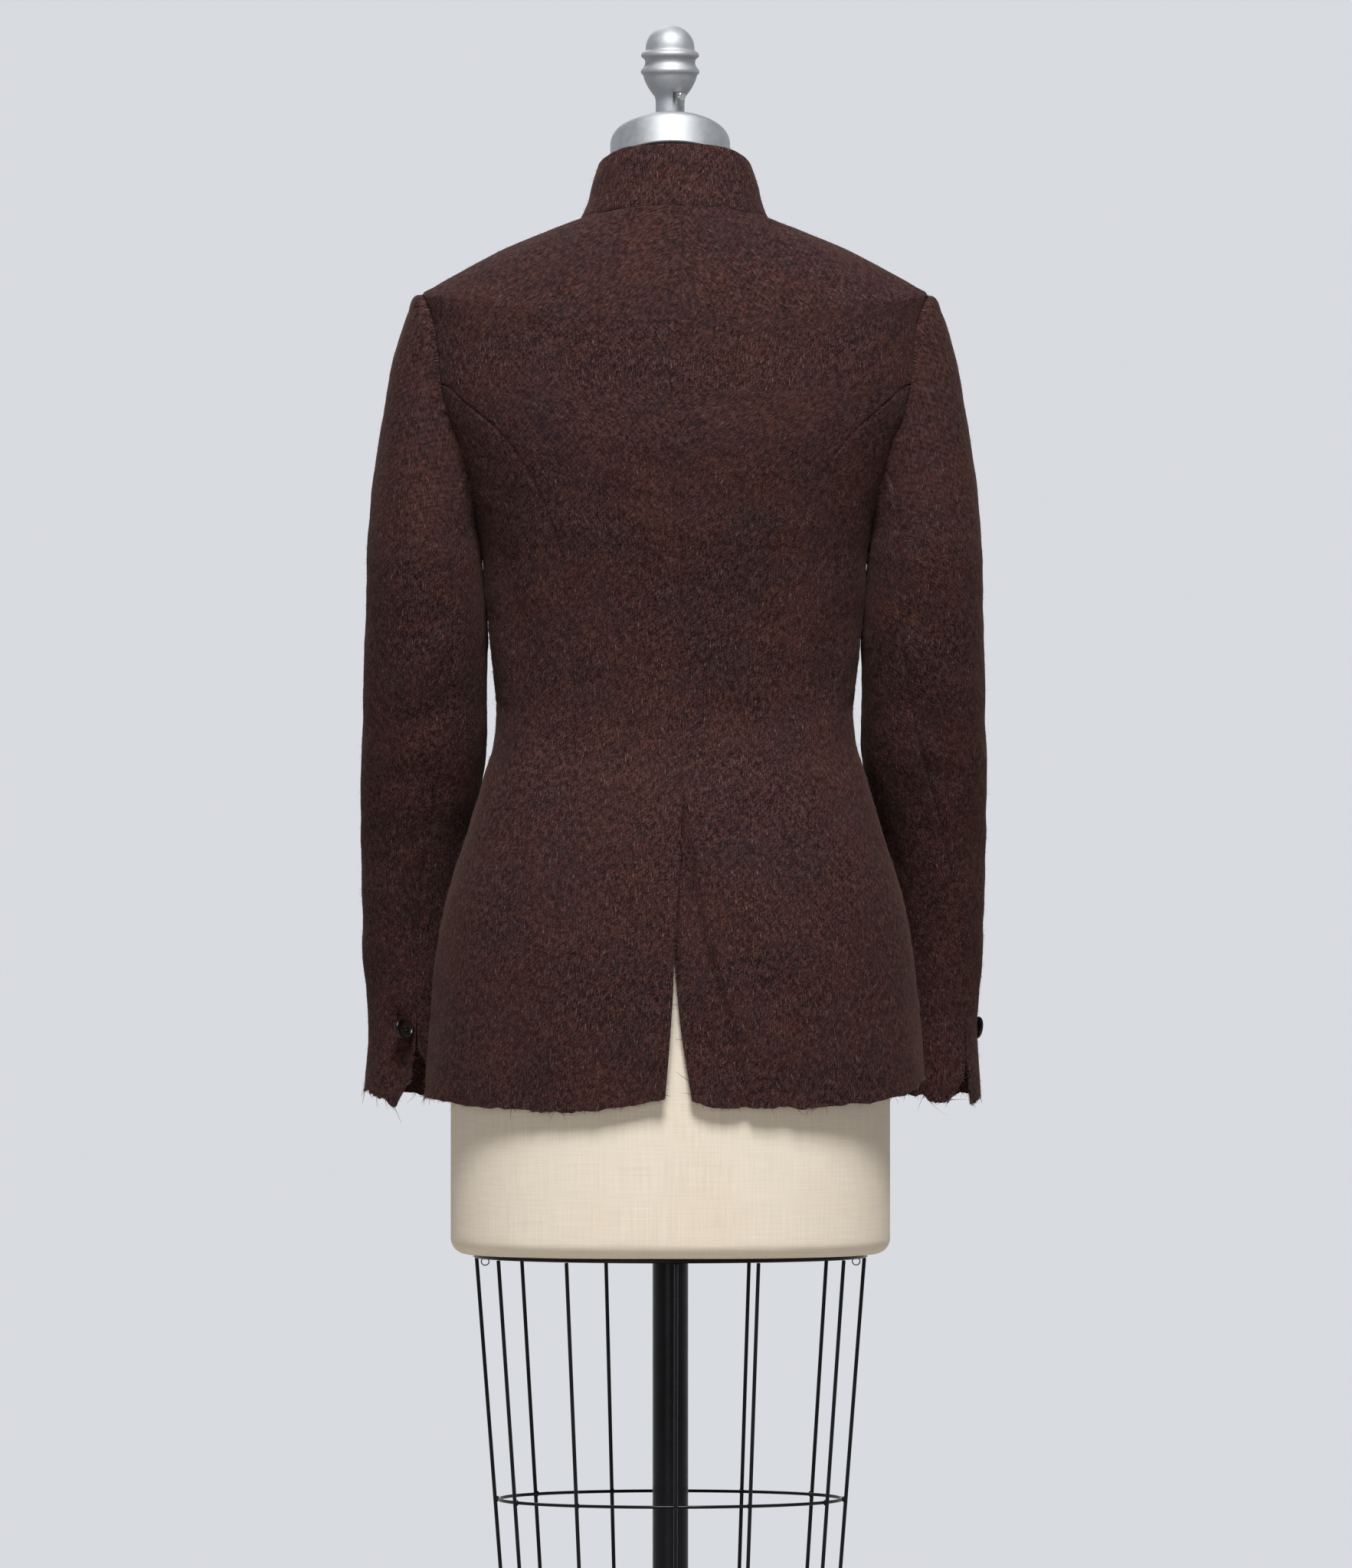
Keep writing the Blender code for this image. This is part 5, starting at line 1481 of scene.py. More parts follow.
@dataclass
class DressForm:
    """The linen torso, its neck cap and its turned finial with the set screw."""

    bodice: Bodice
    linen: Material
    metal: Material
    screw_metal: Material
    columns: int = 160
    cap_tilt: float = math.radians(22)
    cap_centre: tuple[float, float, float] = (STAND_X, -3.0, 1460.8)
    cap_half: tuple[float, float] = (47.0, 50.0)
    cap_height: float = 25.0
    front_ease: float = 5.3
    back_ease: float = 1.6
    ease: float = 3.2
    corner: float = 12.0
    back_seam_x: tuple[float, ...] = (-76.0, -12.0, 66.0)
    front_seam_x: tuple[float, ...] = (-80.0, 0.0, 80.0)
    neck_rings: tuple[tuple[float, float, float], ...] = ((45, 43, 0), (45.5, 42.5, -12), (49.6, 44.8, -30))
    finial_centre: tuple[float, float] = (STAND_X, -12.5)
    neck_runs: tuple[float, ...] = (0, 25, 58, 95)
    under_insets: tuple[float, ...] = (30, 60, 84)
    rows: int = 120
    seam_depth: float = 0.45
    seam_width: float = 1.2
    cap_corner: float = 8.5
    screw_turn: float = math.radians(120)

    def neck_points(self, half_width: float, half_depth: float, height: float, angle: Array) -> Array:
        """Points of a ring round the neck's tilted axis."""
        x = half_width * np.cos(np.radians(angle))
        along = half_depth * np.sin(np.radians(angle))
        y = along * math.cos(self.cap_tilt) - height * math.sin(self.cap_tilt)
        z = along * math.sin(self.cap_tilt) + height * math.cos(self.cap_tilt)
        return np.stack([x, y, z], axis=-1) + np.array(self.cap_centre)

    def level_points(self, level: dict[str, Array], angle: Array, shift: Array) -> Array:
        """Points of one level of the torso, moved across by a shift."""
        points = level_oval(level, angle)
        points[..., 0] += shift
        return points

    def torso(self) -> None:
        """The padded linen body: rings from its neck down to its rounded lower edge."""
        angle = np.linspace(0, 360, self.columns, endpoint=False)
        control = [self.neck_points(*ring, angle) for ring in self.neck_rings]
        for run in self.neck_runs:
            along = np.sin(np.radians(angle))
            ease = self.ease + np.where(along > 0, self.back_ease, self.front_ease) * along**2
            at = np.full_like(angle, run)
            inward = self.bodice.out_of(angle, at) * ease[:, None]
            control.append(self.bodice.ring_points(angle, at) - inward)
        levels = columns_of(FORM_LEVELS, "run")
        for run in np.linspace(FORM_LEVELS[0].run, FORM_LEVELS[-1].run, self.rows):
            level = {name: line.read(run) for name, line in levels.items()}
            shift = STAND_X * smooth_step(run, UNDERARM_RUN, HEM_RUN)
            control.append(self.level_points(level, angle, shift))
        turns = [math.radians(90 * step / 8) for step in range(1, 9)]
        edge = [(self.corner * (1 - math.cos(turn)), self.corner * math.sin(turn)) for turn in turns]
        edge += [(self.corner + inset, self.corner) for inset in self.under_insets]
        for inset, drop in edge:
            z = FORM_LEVELS[-1].side_z - drop
            smaller = dict(level, side_z=z, back_z=z, front_z=z)
            smaller.update({name: level[name] - inset for name in ("half_width", "back", "front")})
            control.append(self.level_points(smaller, angle, STAND_X))
        self.cover(np.array(control), angle)

    def cover(self, points: Array, angle: Array) -> None:
        """Sews the linen's seams into the body's rings, and makes its mesh."""
        seam = np.zeros(points.shape[:2])
        for way, places in ((1, self.back_seam_x), (-1, self.front_seam_x)):
            for x in places:
                near = np.exp(-(((points[..., 0] - x) / self.seam_width) ** 2))
                seam += self.seam_depth * near * (points[..., 1] * way > 0)
        seam *= smooth_step(1340 - points[..., 2], 0, 40)
        points[..., :2] *= (1 - seam / np.maximum(np.linalg.norm(points[..., :2], axis=-1), 1))[..., None]
        rows, columns = points.shape[:2]
        faces = []
        for row in range(rows - 1):
            for column in range(columns):
                after = (column + 1) % columns
                faces.append((
                    row * columns + column, (row + 1) * columns + column,
                    (row + 1) * columns + after, row * columns + after,
                ))
        faces.append(tuple(range(columns)))
        faces.append(tuple((rows - 1) * columns + column for column in reversed(range(columns))))
        item = mesh_piece("form_linen", points.reshape(-1, 3), faces)
        uv = item.data.uv_layers.new(name="cloth")
        flat = np.stack([
            np.broadcast_to(angle[None, :] * 2.6, (rows, columns)), points[..., 2],
        ], axis=-1).reshape(-1, 2)
        corner = np.empty(len(item.data.loops), int)
        item.data.loops.foreach_get("vertex_index", corner)
        uv.data.foreach_set("uv", (flat[corner] * MM).ravel())
        item.data.set_sharp_from_angle(angle=math.radians(60))
        keep(item, self.linen, ["form_body"])

    def cap(self) -> None:
        """The brushed metal cap on the neck, rounded at its upper edge."""
        height, corner = self.cap_height, self.cap_corner
        steps = [(height, 24.0), (height, 10.0)]
        turns = [math.radians(a) for a in range(84, -1, -12)]
        steps += [(height - corner + corner * math.sin(t), corner - corner * math.cos(t)) for t in turns]
        steps += [(3.0, 0.0), (-2.9, 0.0), (-3.5, 0.7)]
        profile = [(50 - inset, z) for z, inset in steps]
        item = lathe("neck_cap", profile, sides=128)
        item.data.transform(Matrix.Diagonal((self.cap_half[0] / 50, self.cap_half[1] / 50, 1, 1)))
        item.data.transform(Matrix.Rotation(self.cap_tilt, 4, "X"))
        item.data.transform(Matrix.Translation(Vector(self.cap_centre) * MM))
        keep(item, self.metal, ["form_neck_cap"])

    def finial(self) -> None:
        """The cast finial: an acorn over two beads and a neck, slit for its set screw."""
        turns = [math.radians(a) for a in range(6, 91, 7)]
        profile = [(19.2 * math.sin(turn), 1552 + 18 * math.cos(turn)) for turn in turns]
        profile += [
            (19.3, 1550.8), (19.8, 1549.9), (21.4, 1549.0), (22.5, 1547.8), (22.8, 1546.4),
            (22.4, 1545.2), (21.2, 1544.3), (20.2, 1543.4), (19.7, 1542.0), (19.6, 1540.3),
            (20.0, 1538.6), (20.9, 1537.2), (22.0, 1536.1), (22.9, 1534.6), (23.0, 1533.2),
            (22.4, 1532.0), (21.4, 1531.2), (20.8, 1529.6), (20.2, 1527.4), (19.0, 1524.6),
            (17.4, 1521.6), (15.6, 1518.7), (13.7, 1516.2), (12.2, 1514.2), (11.5, 1511.8),
            (11.3, 1508.8), (11.3, 1489.4),
        ]
        item = lathe("finial", profile, self.finial_centre)
        carve(item, block((2.3, 11, 15), Matrix.Translation(Vector((0.4, -0.2, 1509.5)) * MM)))
        smooth(35)
        keep(item, self.metal, ["form_finial"])

    def screw(self) -> None:
        """The bright set screw with its slotted head."""
        way = Vector((math.cos(self.screw_turn), math.sin(self.screw_turn), 0))
        start = Vector((*self.finial_centre, 1513.5)) + way * 14.7
        head = rod("set_screw", start + way * 0.9, start + way * 4.5, 3.2, 32)
        bevelled(head, 0.5, 3)
        shank = rod("screw_shank", start - way * 2.0, start + way * 1.6, 1.7, 24)
        carve(head, block((0.8, 7, 1.2), Matrix.Translation((start + way * 4.2) * MM) @ facing(way, 35)))
        item = merged("set_screw", [head, shank])
        smooth(40)
        keep(item, self.screw_metal, ["form_screw"])

    def build(self) -> None:
        """Builds the form's pieces."""
        self.torso()
        self.cap()
        self.finial()
        self.screw()


@dataclass
class Stand:
    """The plate, pole, cage and base under the form."""

    enamel: Material
    base_enamel: Material
    plate_half: tuple[float, float] = (154.5, 110.5)
    plate_top: float = 607.3
    plate_bottom: float = 604.3
    cage_top: tuple[float, float] = (152.0, 108.0)
    cage_bottom: tuple[float, float] = (122.0, 92.0)
    ring_heights: tuple[float, float] = (415.0, 215.0)
    wire_angles: tuple[float, ...] = (-3, 27.5, 57.3, 91, 116, 152, 177, 215, 245, 269, 289, 320)
    wire_radius: float = 1.5
    ring_radius: float = 1.3
    pole_radius: float = 14.0
    base_radius: float = 200.0
    base_thick: float = 14.0
    hub_radius: float = 34.0
    hub_height: float = 46.0

    def oval(self, half: tuple[float, float], angle: float, z: float) -> Vector:
        """Point of an oval round the stand's axis."""
        turn = math.radians(angle)
        return Vector((STAND_X + half[0] * math.cos(turn), half[1] * math.sin(turn), z))

    def cage_half(self, z: float) -> tuple[float, float]:
        """Half-width and half-depth of the cage at a height."""
        share = (z - self.ring_heights[1]) / (self.plate_bottom - self.ring_heights[1])
        wide, deep = (low + (high - low) * share for low, high in zip(self.cage_bottom, self.cage_top))
        return wide, deep

    def plate(self) -> None:
        """The oval plate under the form."""
        profile = [(90, self.plate_top), (99.3, self.plate_top), (100, self.plate_top - 0.8)]
        profile += [(100, self.plate_bottom + 0.8), (99.3, self.plate_bottom), (60, self.plate_bottom)]
        item = lathe("plate", profile, sides=128)
        item.data.transform(Matrix.Diagonal((self.plate_half[0] / 100, self.plate_half[1] / 100, 1, 1)))
        item.data.transform(Matrix.Translation((STAND_X * MM, 0, 0)))
        keep(item, self.enamel, ["form_plate"])

    def pole(self) -> None:
        """The straight pole between the base's hub and the plate."""
        top, bottom = self.plate_bottom - FIT_GAP, self.base_thick + self.hub_height + FIT_GAP
        r = self.pole_radius
        profile = [(r - 1, top), (r, top - 1), (r, bottom + 1), (r - 1, bottom)]
        item = lathe("stand_pole", profile, (STAND_X, 0), 64)
        keep(item, self.enamel, ["pole"])

    def cage(self) -> None:
        """Twelve wires and two rings, with a small weld at each crossing."""
        top, bottom = self.plate_bottom - FIT_GAP, self.ring_heights[1] - 6
        for n, angle in enumerate(self.wire_angles):
            ends = [self.oval(self.cage_half(z), angle, z) for z in (top, bottom)]
            wire = rod(f"wire_{n + 1:02d}", ends[0], ends[1], self.wire_radius, 20)
            bevelled(wire, 0.5, 2)
            keep(wire, self.enamel, [f"cage_wire_{n + 1:02d}"])
        inset = self.wire_radius + self.ring_radius + FIT_GAP
        for word, z in zip(("upper", "lower"), self.ring_heights):
            wide, deep = self.cage_half(z)
            half = (wide - inset, deep - inset)
            path = [self.oval(half, 360 * n / 96, z) for n in range(96)]
            ring = hoop(f"ring_{word}", path, self.ring_radius)
            keep(ring, self.enamel, [f"cage_ring_{word}"])
            profile = [(0.5, 2.3), (1.1, 1.9), (1.6, 0.9), (1.75, -0.2), (1.5, -1.2), (0.6, -2.2)]
            bead = lathe(f"welds_{word}", profile, sides=14)
            beads = [bead]
            for _ in self.wire_angles[1:]:
                use_only(bead)
                bpy.ops.object.duplicate(linked=False)
                beads.append(bpy.context.object)
            for weld, angle in zip(beads, self.wire_angles):
                middle = self.oval((half[0] + 1.5, half[1] + 1.5), angle, z)
                weld.data.transform(Matrix.Translation(middle * MM))
            keep(merged(f"welds_{word}", beads), self.enamel)

    def eyes(self) -> None:
        """The small wire eyes that hold the form on its plate."""
        for n, angle in enumerate((8, 172)):
            rim = (self.plate_half[0] - 8, self.plate_half[1] - 8)
            centre = self.oval(rim, angle, self.plate_bottom - 2.6)
            path = [
                centre + Vector((3.0 * math.cos(math.radians(a)), 0, 2.9 * math.sin(math.radians(a))))
                for a in range(0, 360, 15)
            ]
            keep(hoop(f"wire_eye_{n + 1}", path, 0.45), self.enamel)

    def base(self) -> None:
        """The round cast base with its hub."""
        t, hub, r = self.base_thick, self.hub_radius, self.base_radius
        top = t + self.hub_height
        profile = [
            (hub - 14, top), (hub - 11, top - 0.6), (hub - 9, top - 2.2), (hub - 8, top - 4.5),
            (hub - 6.6, t + 26), (hub - 5, t + 14), (hub - 1.5, t + 8), (hub + 6, t + 4),
            (hub + 16, t + 1.6), (hub + 30, t), (r - 60, t - 0.9), (r - 20, t - 2.2),
            (r - 6, t - 3), (r - 2.5, t - 4.2), (r - 0.6, t - 6), (r, t - 8), (r, 0.8), (r - 0.8, 0),
        ]
        item = lathe("cast_base", profile, (STAND_X, 0), 160)
        keep(item, self.base_enamel, ["base"])

    def build(self) -> None:
        """Builds the stand's pieces."""
        self.plate()
        self.pole()
        self.cage()
        self.eyes()
        self.base()


@dataclass
class Nodes:
    """A node tree, laid out step by step."""

    tree: bpy.types.NodeTree

    def node(self, kind: str, values: dict | None = None, **settings: object) -> bpy.types.Node:
        """Adds a node.

        Args:
            kind: its type.
            values: numbers or sockets for its inputs, by name or place.
            settings: its own properties.

        Returns:
            The node.
        """
        made = self.tree.nodes.new(kind)
        for name, value in settings.items():
            setattr(made, name, value)
        for name, value in (values or {}).items():
            if isinstance(value, Socket):
                self.tree.links.new(value, made.inputs[name])
            else:
                made.inputs[name].default_value = value
        return made

    def place(
        self, uv: bool = False, scale: Colour = (1, 1, 1), turn: float = 0.0, shift: Colour = (0, 0, 0),
    ) -> Socket:
        """Coordinates on the object, or on its own UV map, scaled and turned."""
        source = self.node("ShaderNodeTexCoord").outputs["UV" if uv else "Object"]
        rotation = (0, 0, math.radians(turn))
        values = {"Vector": source, "Scale": scale, "Location": shift, "Rotation": rotation}
        return self.node("ShaderNodeMapping", values).outputs["Vector"]

    def noise(self, where: Socket, scale: float, detail: float = 2.0, rough: float = 0.5) -> Socket:
        """Soft random values."""
        values = {"Vector": where, "Scale": scale, "Detail": detail, "Roughness": rough}
        return self.node("ShaderNodeTexNoise", values).outputs["Fac"]

    def ramp(self, factor: Socket, stops: Sequence[tuple[float, Colour | float]]) -> Socket:
        """Turns values into colours or greys between given stops."""
        made = self.node("ShaderNodeValToRGB", {"Fac": factor})
        elements = made.color_ramp.elements
        while len(elements) < len(stops):
            elements.new(0.5)
        for element, (at, colour) in zip(elements, stops):
            element.position = at
            element.color = (colour, colour, colour, 1) if isinstance(colour, (int, float)) else (*colour, 1)
        return made.outputs["Color"]

    def mix(self, factor: object, a: object, b: object, blend: str = "MIX") -> Socket:
        """Mixes two colours."""
        made = self.node("ShaderNodeMix", data_type="RGBA", blend_type=blend)
        for index, value in ((0, factor), (6, a), (7, b)):
            if isinstance(value, Socket):
                self.tree.links.new(value, made.inputs[index])
            else:
                made.inputs[index].default_value = value if isinstance(value, float) else (*value, 1)
        return made.outputs[2]

    def sum(self, *parts: tuple[Socket, float]) -> Socket:
        """Adds up values, each times its weight."""
        total: object = 0.0
        for value, weight in parts:
            values = {0: value, 1: weight, 2: total}
            total = self.node("ShaderNodeMath", values, operation="MULTIPLY_ADD").outputs[0]
        return total


class Recipe(Nodes):
    """A material's nodes round its own shader."""

    def __init__(self, name: str) -> None:
        """Makes the material and finds its shader."""
        self.material = bpy.data.materials.new(name)
        self.material.use_nodes = True
        super().__init__(self.material.node_tree)
        self.shader = self.tree.nodes["Principled BSDF"]

    def set(self, **values: object) -> None:
        """Sets the shader's own sockets, or links them; underscores stand for spaces."""
        for name, value in values.items():
            socket = self.shader.inputs[name.replace("_", " ")]
            if isinstance(value, Socket):
                self.tree.links.new(value, socket)
            else:
                socket.default_value = value

    def bump(self, height: Socket, strength: float, distance: float) -> None:
        """Roughens the surface by a height in millimetres."""
        values = {"Height": height, "Strength": strength, "Distance": distance * MM}
        self.set(Normal=self.node("ShaderNodeBump", values).outputs["Normal"])


@dataclass(frozen=True)
class TweedFinish:
    """Napped woollen twill: near-black brown and maroon yarns with rust, ochre, grey and pale flecks."""

    dark: Colour = (0.0062, 0.0029, 0.0038)
    middle: Colour = (0.0246, 0.0107, 0.0115)
    light: Colour = (0.0620, 0.0325, 0.0270)
    rust: Colour = (0.0833, 0.0255, 0.0187)
    ochre: Colour = (0.1020, 0.0561, 0.0272)
    slate: Colour = (0.0161, 0.0127, 0.0161)
    pale: Colour = (0.1700, 0.1318, 0.1148)
    strokes: tuple = (
        ((1150, 170, 1), 14, (0, 0, 0)), ((1000, 190, 1), -38, (7, 3, 0)), ((210, 900, 1), 6, (2, 9, 0)),
    )
    colour_weights: tuple[float, ...] = (0.27, 0.20, 0.15, 0.22, 0.13, 0.03)
    height_weights: tuple[float, ...] = (0.30, 0.25, 0.15, 0.55, 0.20, 0.10)

    def make(self) -> Material:
        """Makes the material."""
        r = Recipe("tweed_cloth")
        hairs, slant, cross = (r.noise(r.place(True, *place), 1.0, 2.0, 0.6) for place in self.strokes)
        mottle = r.noise(r.place(), 260, 3.0, 0.65)
        grain = r.noise(r.place(), 1500, 2.0, 0.7)
        bands = {"Vector": r.place(True, turn=52), "Scale": 115.0, "Distortion": 3.2, "Detail": 1.0}
        twill = r.node("ShaderNodeTexWave", {**bands, "Detail Scale": 3.0}, wave_type="BANDS").outputs["Fac"]
        parts = hairs, slant, cross, mottle, grain, twill
        yarn = r.sum(*zip(parts, self.colour_weights))
        colour = r.ramp(yarn, [(0.440, self.dark), (0.50, self.middle), (0.570, self.light)])
        clouds = r.sum((r.noise(r.place(), 13, 2.0), 0.6), (r.noise(r.place(), 40, 3.0), 0.4))
        colour = r.mix(r.ramp(clouds, [(0.42, 0.0), (0.60, 0.13)]), colour, self.rust)
        grey = r.ramp(r.noise(r.place(False, shift=(3, 1, 2)), 24, 3.0, 0.6), [(0.44, 0.0), (0.68, 0.28)])
        colour = r.mix(grey, colour, self.slate)
        for shade, scale, low, high, most, shift in (
            (self.rust, 300, 0.56, 0.72, 0.42, (1, 5, 2)),
            (self.slate, 240, 0.56, 0.70, 0.55, (9, 3, 5)),
            (self.ochre, 420, 0.64, 0.78, 0.42, (4, 2, 8)),
        ):
            spots = r.noise(r.place(False, shift=shift), scale, 2.0, 0.6)
            colour = r.mix(r.ramp(spots, [(low, 0.0), (high, most)]), colour, shade)
        for turn, shift in ((24, (6, 7, 0)), (-52, (1, 8, 0))):
            flecks = r.noise(r.place(True, (1100, 150, 1), turn, shift), 1.0, 1.0)
            colour = r.mix(r.ramp(flecks, [(0.68, 0.0), (0.78, 0.65)]), colour, self.pale)
        r.set(Base_Color=colour, Roughness=0.97, Specular_IOR_Level=0.06)
        r.set(Sheen_Weight=0.07, Sheen_Roughness=0.45, Sheen_Tint=(0.60, 0.38, 0.33, 1))
        height = r.sum(*zip(parts, self.height_weights))
        r.bump(height, 0.9, 0.75)
        return r.material


@dataclass(frozen=True)
class YarnFinish:
    """Loose wool fibres and yarn ends, in the cloth's own shades."""

    name: str = "tweed_yarn"
    base: Colour = (0.060, 0.033, 0.030)
    rust: Colour = (0.115, 0.052, 0.036)
    dark: Colour = (0.022, 0.012, 0.013)

    def make(self) -> Material:
        """Makes the material."""
        r = Recipe(self.name)
        shade = r.noise(r.place(), 160, 2.0)
        colour = r.ramp(shade, [(0.38, self.dark), (0.52, self.base), (0.66, self.rust)])
        r.set(Base_Color=colour, Roughness=0.9, Specular_IOR_Level=0.2)
        r.set(Sheen_Weight=0.15, Sheen_Roughness=0.5)
        return r.material


@dataclass(frozen=True)
class LinenFinish:
    """Cream plain-weave linen pulled tight, with slubs and a faint warm ageing."""

    cream: Colour = (0.675, 0.615, 0.525)
    aged: Colour = (0.655, 0.570, 0.475)

    def make(self) -> Material:
        """Makes the material."""
        r = Recipe("linen_cover")
        warp = r.noise(r.place(True, (950, 26, 1)), 1.0, 2.0, 0.6)
        weft = r.noise(r.place(True, (26, 950, 1), shift=(2, 5, 0)), 1.0, 2.0, 0.6)
        stain = r.ramp(r.noise(r.place(), 9, 3.0, 0.55), [(0.46, 0.0), (0.70, 0.8)])
        colour = r.mix(stain, self.cream, self.aged)
        slub = r.ramp(r.sum((warp, 0.5), (weft, 0.5)), [(0.34, 0.90), (0.66, 1.05)])
        r.set(Base_Color=r.mix(1.0, colour, slub, "MULTIPLY"), Roughness=0.88, Specular_IOR_Level=0.25,
              Sheen_Weight=0.08)
        r.bump(r.sum((warp, 0.5), (weft, 0.5)), 0.5, 0.25)
        return r.material


@dataclass(frozen=True)
class MetalFinish:
    """Satin aluminium with the marks of turning and handling."""

    name: str = "satin_aluminium"
    colour: Colour = (0.44, 0.46, 0.49)
    low: float = 0.60
    high: float = 0.74

    def make(self) -> Material:
        """Makes the material."""
        r = Recipe(self.name)
        turning = r.noise(r.place(False, (60, 60, 2600)), 1.0, 2.0, 0.6)
        marks = r.noise(r.place(), 150, 4.0, 0.65)
        rough = r.ramp(r.sum((turning, 0.4), (marks, 0.6)), [(0.30, self.low), (0.72, self.high)])
        tone = r.ramp(marks, [(0.30, tuple(c * 0.9 for c in self.colour)), (0.62, self.colour)])
        r.set(Base_Color=tone, Metallic=1.0, Roughness=rough)
        r.bump(r.sum((turning, 0.5), (marks, 0.5)), 0.12, 0.12)
        return r.material


@dataclass(frozen=True)
class EnamelFinish:
    """Gloss black enamel over steel or iron, a little uneven."""

    name: str
    colour: Colour = (0.0065, 0.0070, 0.0095)
    gloss: float = 0.16
    grain: float = 90.0
    lift: float = 0.10
    shine: float = 0.16

    def make(self) -> Material:
        """Makes the material."""
        r = Recipe(self.name)
        uneven = r.noise(r.place(), self.grain, 3.0, 0.6)
        rough = r.ramp(uneven, [(0.30, self.gloss), (0.75, self.gloss + 0.16)])
        r.set(Base_Color=(*self.colour, 1), Roughness=rough, Specular_IOR_Level=self.shine)
        r.bump(uneven, 0.15, self.lift)
        return r.material


@dataclass(frozen=True)
class HornFinish:
    """Polished near-black horn with faint brown clouds."""

    dark: Colour = (0.0045, 0.0036, 0.0040)
    brown: Colour = (0.020, 0.012, 0.009)

    def make(self) -> Material:
        """Makes the material."""
        r = Recipe("polished_horn")
        clouds = r.noise(r.place(False, (90, 260, 90)), 1.0, 3.0, 0.6)
        r.set(Base_Color=r.ramp(clouds, [(0.42, self.dark), (0.75, self.brown)]), Roughness=0.20,
              Specular_IOR_Level=0.25)
        r.bump(clouds, 0.1, 0.1)
        return r.material


class Lamp(NamedTuple):
    """A square soft light: its place, size and power."""

    name: str
    place: Colour
    size: float
    power: float


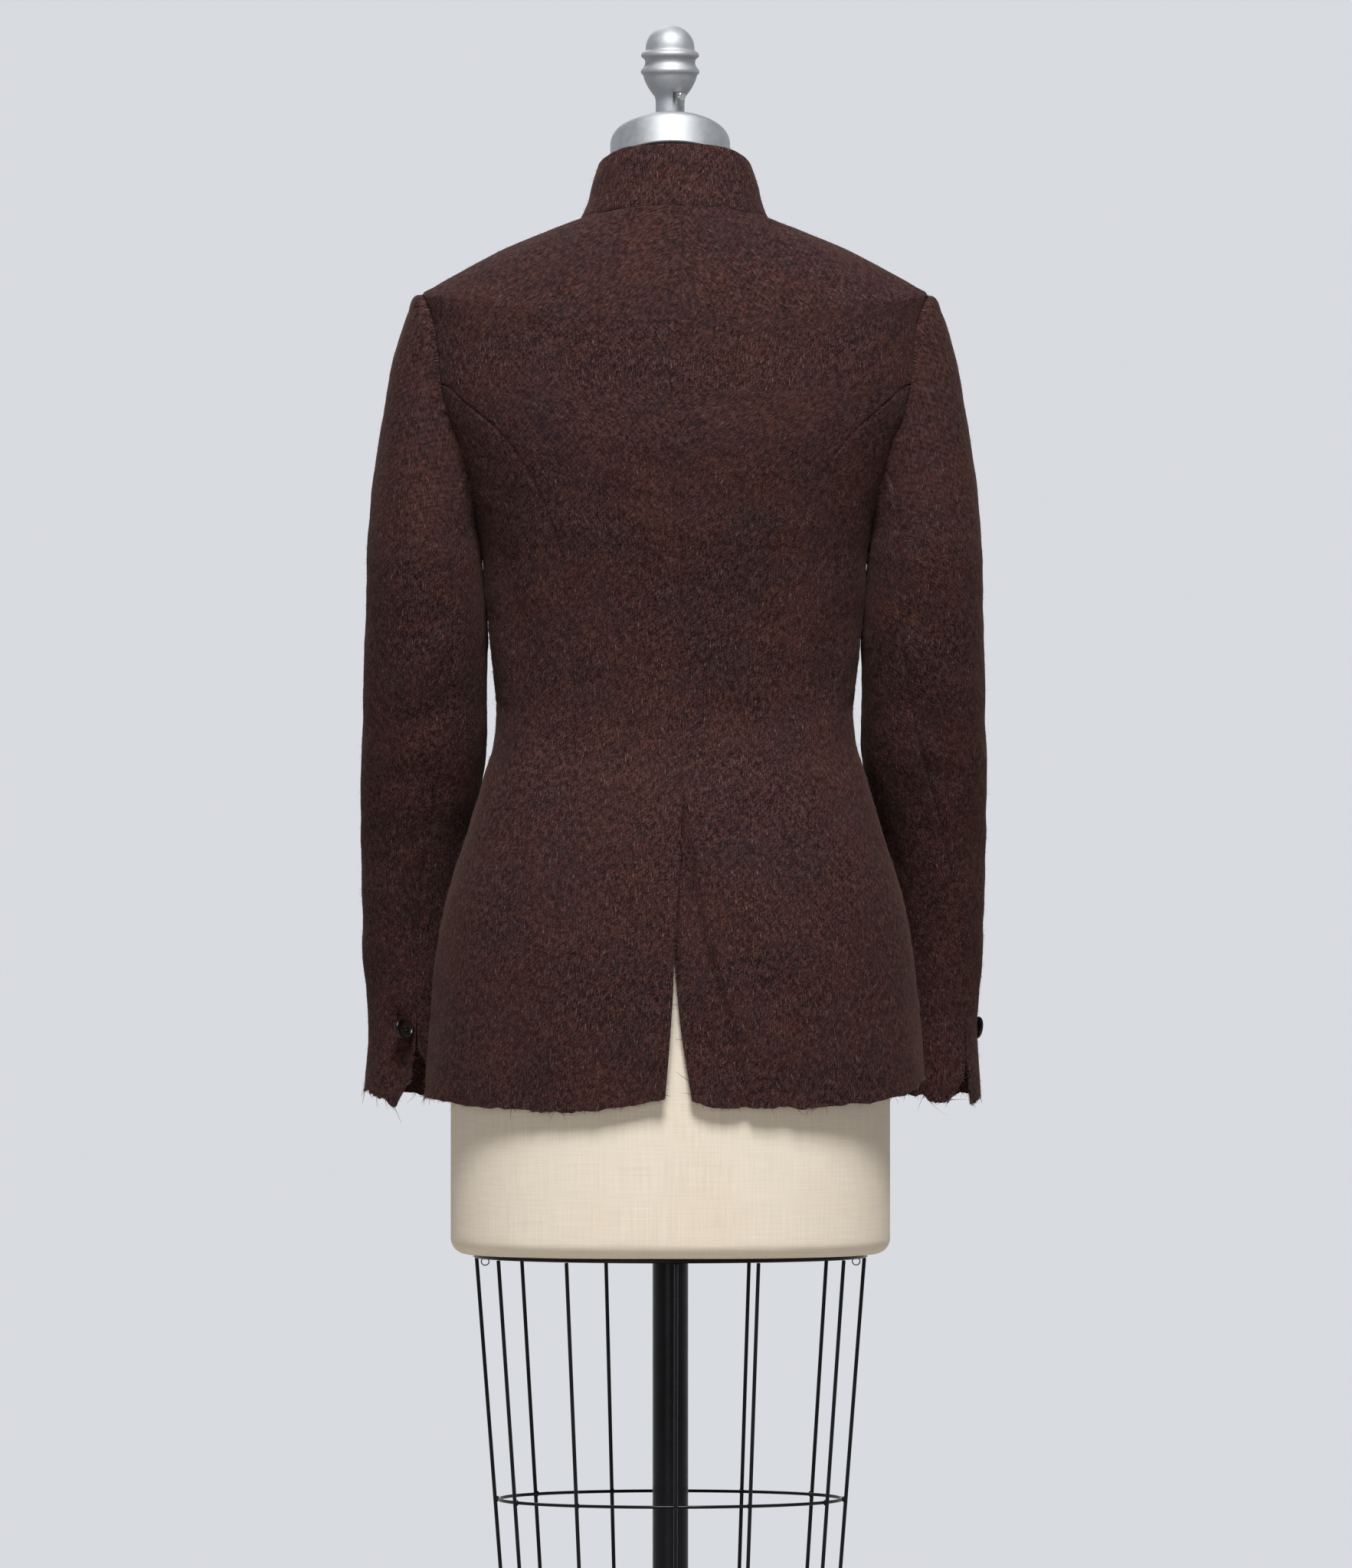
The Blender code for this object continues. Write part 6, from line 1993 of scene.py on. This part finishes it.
@dataclass
class Studio:
    """The pale floor, the soft light and the camera at the photograph's angle."""

    azimuth: float = 179.0
    distance: float = 8.4
    axis_px: float = 881.0
    middle_z: float = 975.0
    backdrop: Colour = (0.690, 0.706, 0.745)
    dome: float = 0.10
    behind_camera: float = 0.36
    floor_tones: tuple[Colour, Colour] = ((0.50, 0.455, 0.40), (0.53, 0.48, 0.425))
    white: Colour = (1.0, 0.985, 0.96)
    target: Colour = (0, 0, 1.0)
    sensor: float = 36
    lamps: tuple[Lamp, ...] = rows_of(
        Lamp, ("key", (-0.2, 2.5, 4.8), 1.5, 340), ("fill", (1.6, 5.2, 1.6), 2.4, 34),
        ("front", (0.8, -3.4, 4.4), 2.2, 80),
    )

    def floor(self) -> None:
        """A wide round floor."""
        bpy.ops.object.select_all(action="DESELECT")
        bpy.ops.mesh.primitive_circle_add(vertices=128, radius=4.5, fill_type="NGON")
        floor = bpy.context.object
        floor.name = floor.data.name = "studio_floor"
        r = Recipe("pale_floor")
        tone = r.ramp(r.noise(r.place(), 3, 2.0), list(zip((0.3, 0.7), self.floor_tones)))
        r.set(Base_Color=tone, Roughness=0.7)
        floor.data.materials.append(r.material)

    def lamp(self, lamp: Lamp) -> None:
        """Hangs one light, which looks at the jacket."""
        light = bpy.data.lights.new(lamp.name, "AREA")
        light.size, light.energy, light.color = lamp.size, lamp.power, self.white
        item = linked(lamp.name, light)
        item.location = lamp.place
        item.rotation_euler = (Vector(self.target) - Vector(lamp.place)).to_track_quat("-Z", "Y").to_euler()

    def light(self) -> None:
        """An even pale surround, darker overhead, and the lamps."""
        world = bpy.data.worlds.new("surround")
        bpy.context.scene.world = world
        world.use_nodes = True
        n = Nodes(world.node_tree)
        way = n.node("ShaderNodeTexCoord").outputs["Generated"]
        split = n.node("ShaderNodeSeparateXYZ", {0: way})
        values = {0: split.outputs["Z"], 1: 0.5, 2: 0.5}
        high = n.node("ShaderNodeMath", values, operation="MULTIPLY_ADD").outputs[0]
        dome = n.ramp(high, [(0.0, 1.0), (0.58, 1.0), (0.70, self.dome), (1.0, self.dome)])
        values = {0: split.outputs["Y"], 1: -0.2, 2: 0.8, 3: 1.0, 4: self.behind_camera}
        round_it = n.node("ShaderNodeMapRange", values, interpolation_type="SMOOTHSTEP").outputs[0]
        colour = n.mix(1.0, n.mix(1.0, self.backdrop, dome, "MULTIPLY"), round_it, "MULTIPLY")
        world.node_tree.links.new(colour, world.node_tree.nodes["Background"].inputs["Color"])
        for lamp in self.lamps:
            self.lamp(lamp)

    def camera(self) -> None:
        """The camera, level with the middle of the photograph."""
        data = bpy.data.cameras.new("camera")
        data.sensor_width = self.sensor
        data.lens = self.sensor / (PHOTO_HEIGHT * PIXEL * MM / self.distance)
        camera = linked("camera", data)
        turn = math.radians(self.azimuth)
        back = Vector((math.sin(turn), -math.cos(turn), 0))
        right = Vector((math.cos(turn), math.sin(turn), 0))
        aim = right * ((PHOTO_WIDTH / 2 - self.axis_px) * PIXEL * MM) + Vector((0, 0, self.middle_z * MM))
        camera.location = aim + back * self.distance
        camera.rotation_euler = (-back).to_track_quat("-Z", "Y").to_euler()
        bpy.context.scene.camera = camera
        bpy.context.scene.view_settings.view_transform = "Standard"

    def build(self) -> None:
        """Sets up the studio."""
        self.floor()
        self.light()
        self.camera()


def main() -> None:
    """Builds every piece in order."""
    logging.basicConfig(level=logging.INFO, format="%(name)s %(message)s")
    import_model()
    Studio().build()
    tweed, yarn = TweedFinish().make(), YarnFinish().make()
    blacks = (0.012, 0.009, 0.009), (0.02, 0.014, 0.013), (0.006, 0.005, 0.005)
    thread = YarnFinish("button_thread", *blacks).make()
    cloth = Cloth(tweed, yarn)
    bodice = Bodice(cloth)
    bodice.build()
    sleeves = {side: Sleeve(bodice, side) for side in Side}
    for sleeve in sleeves.values():
        sleeve.build()
    Collar(cloth).build()
    Buttons(bodice, sleeves, HornFinish().make(), thread).build()
    metal = MetalFinish().make()
    bright = MetalFinish("screw_steel", (0.80, 0.80, 0.78), 0.18, 0.30).make()
    DressForm(bodice, LinenFinish().make(), metal, bright).build()
    base_enamel = EnamelFinish("base_enamel", (0.009, 0.0095, 0.012), 0.26, 420.0, 0.25)
    Stand(EnamelFinish("stand_enamel").make(), base_enamel.make()).build()


if __name__ == "__main__":
    main()
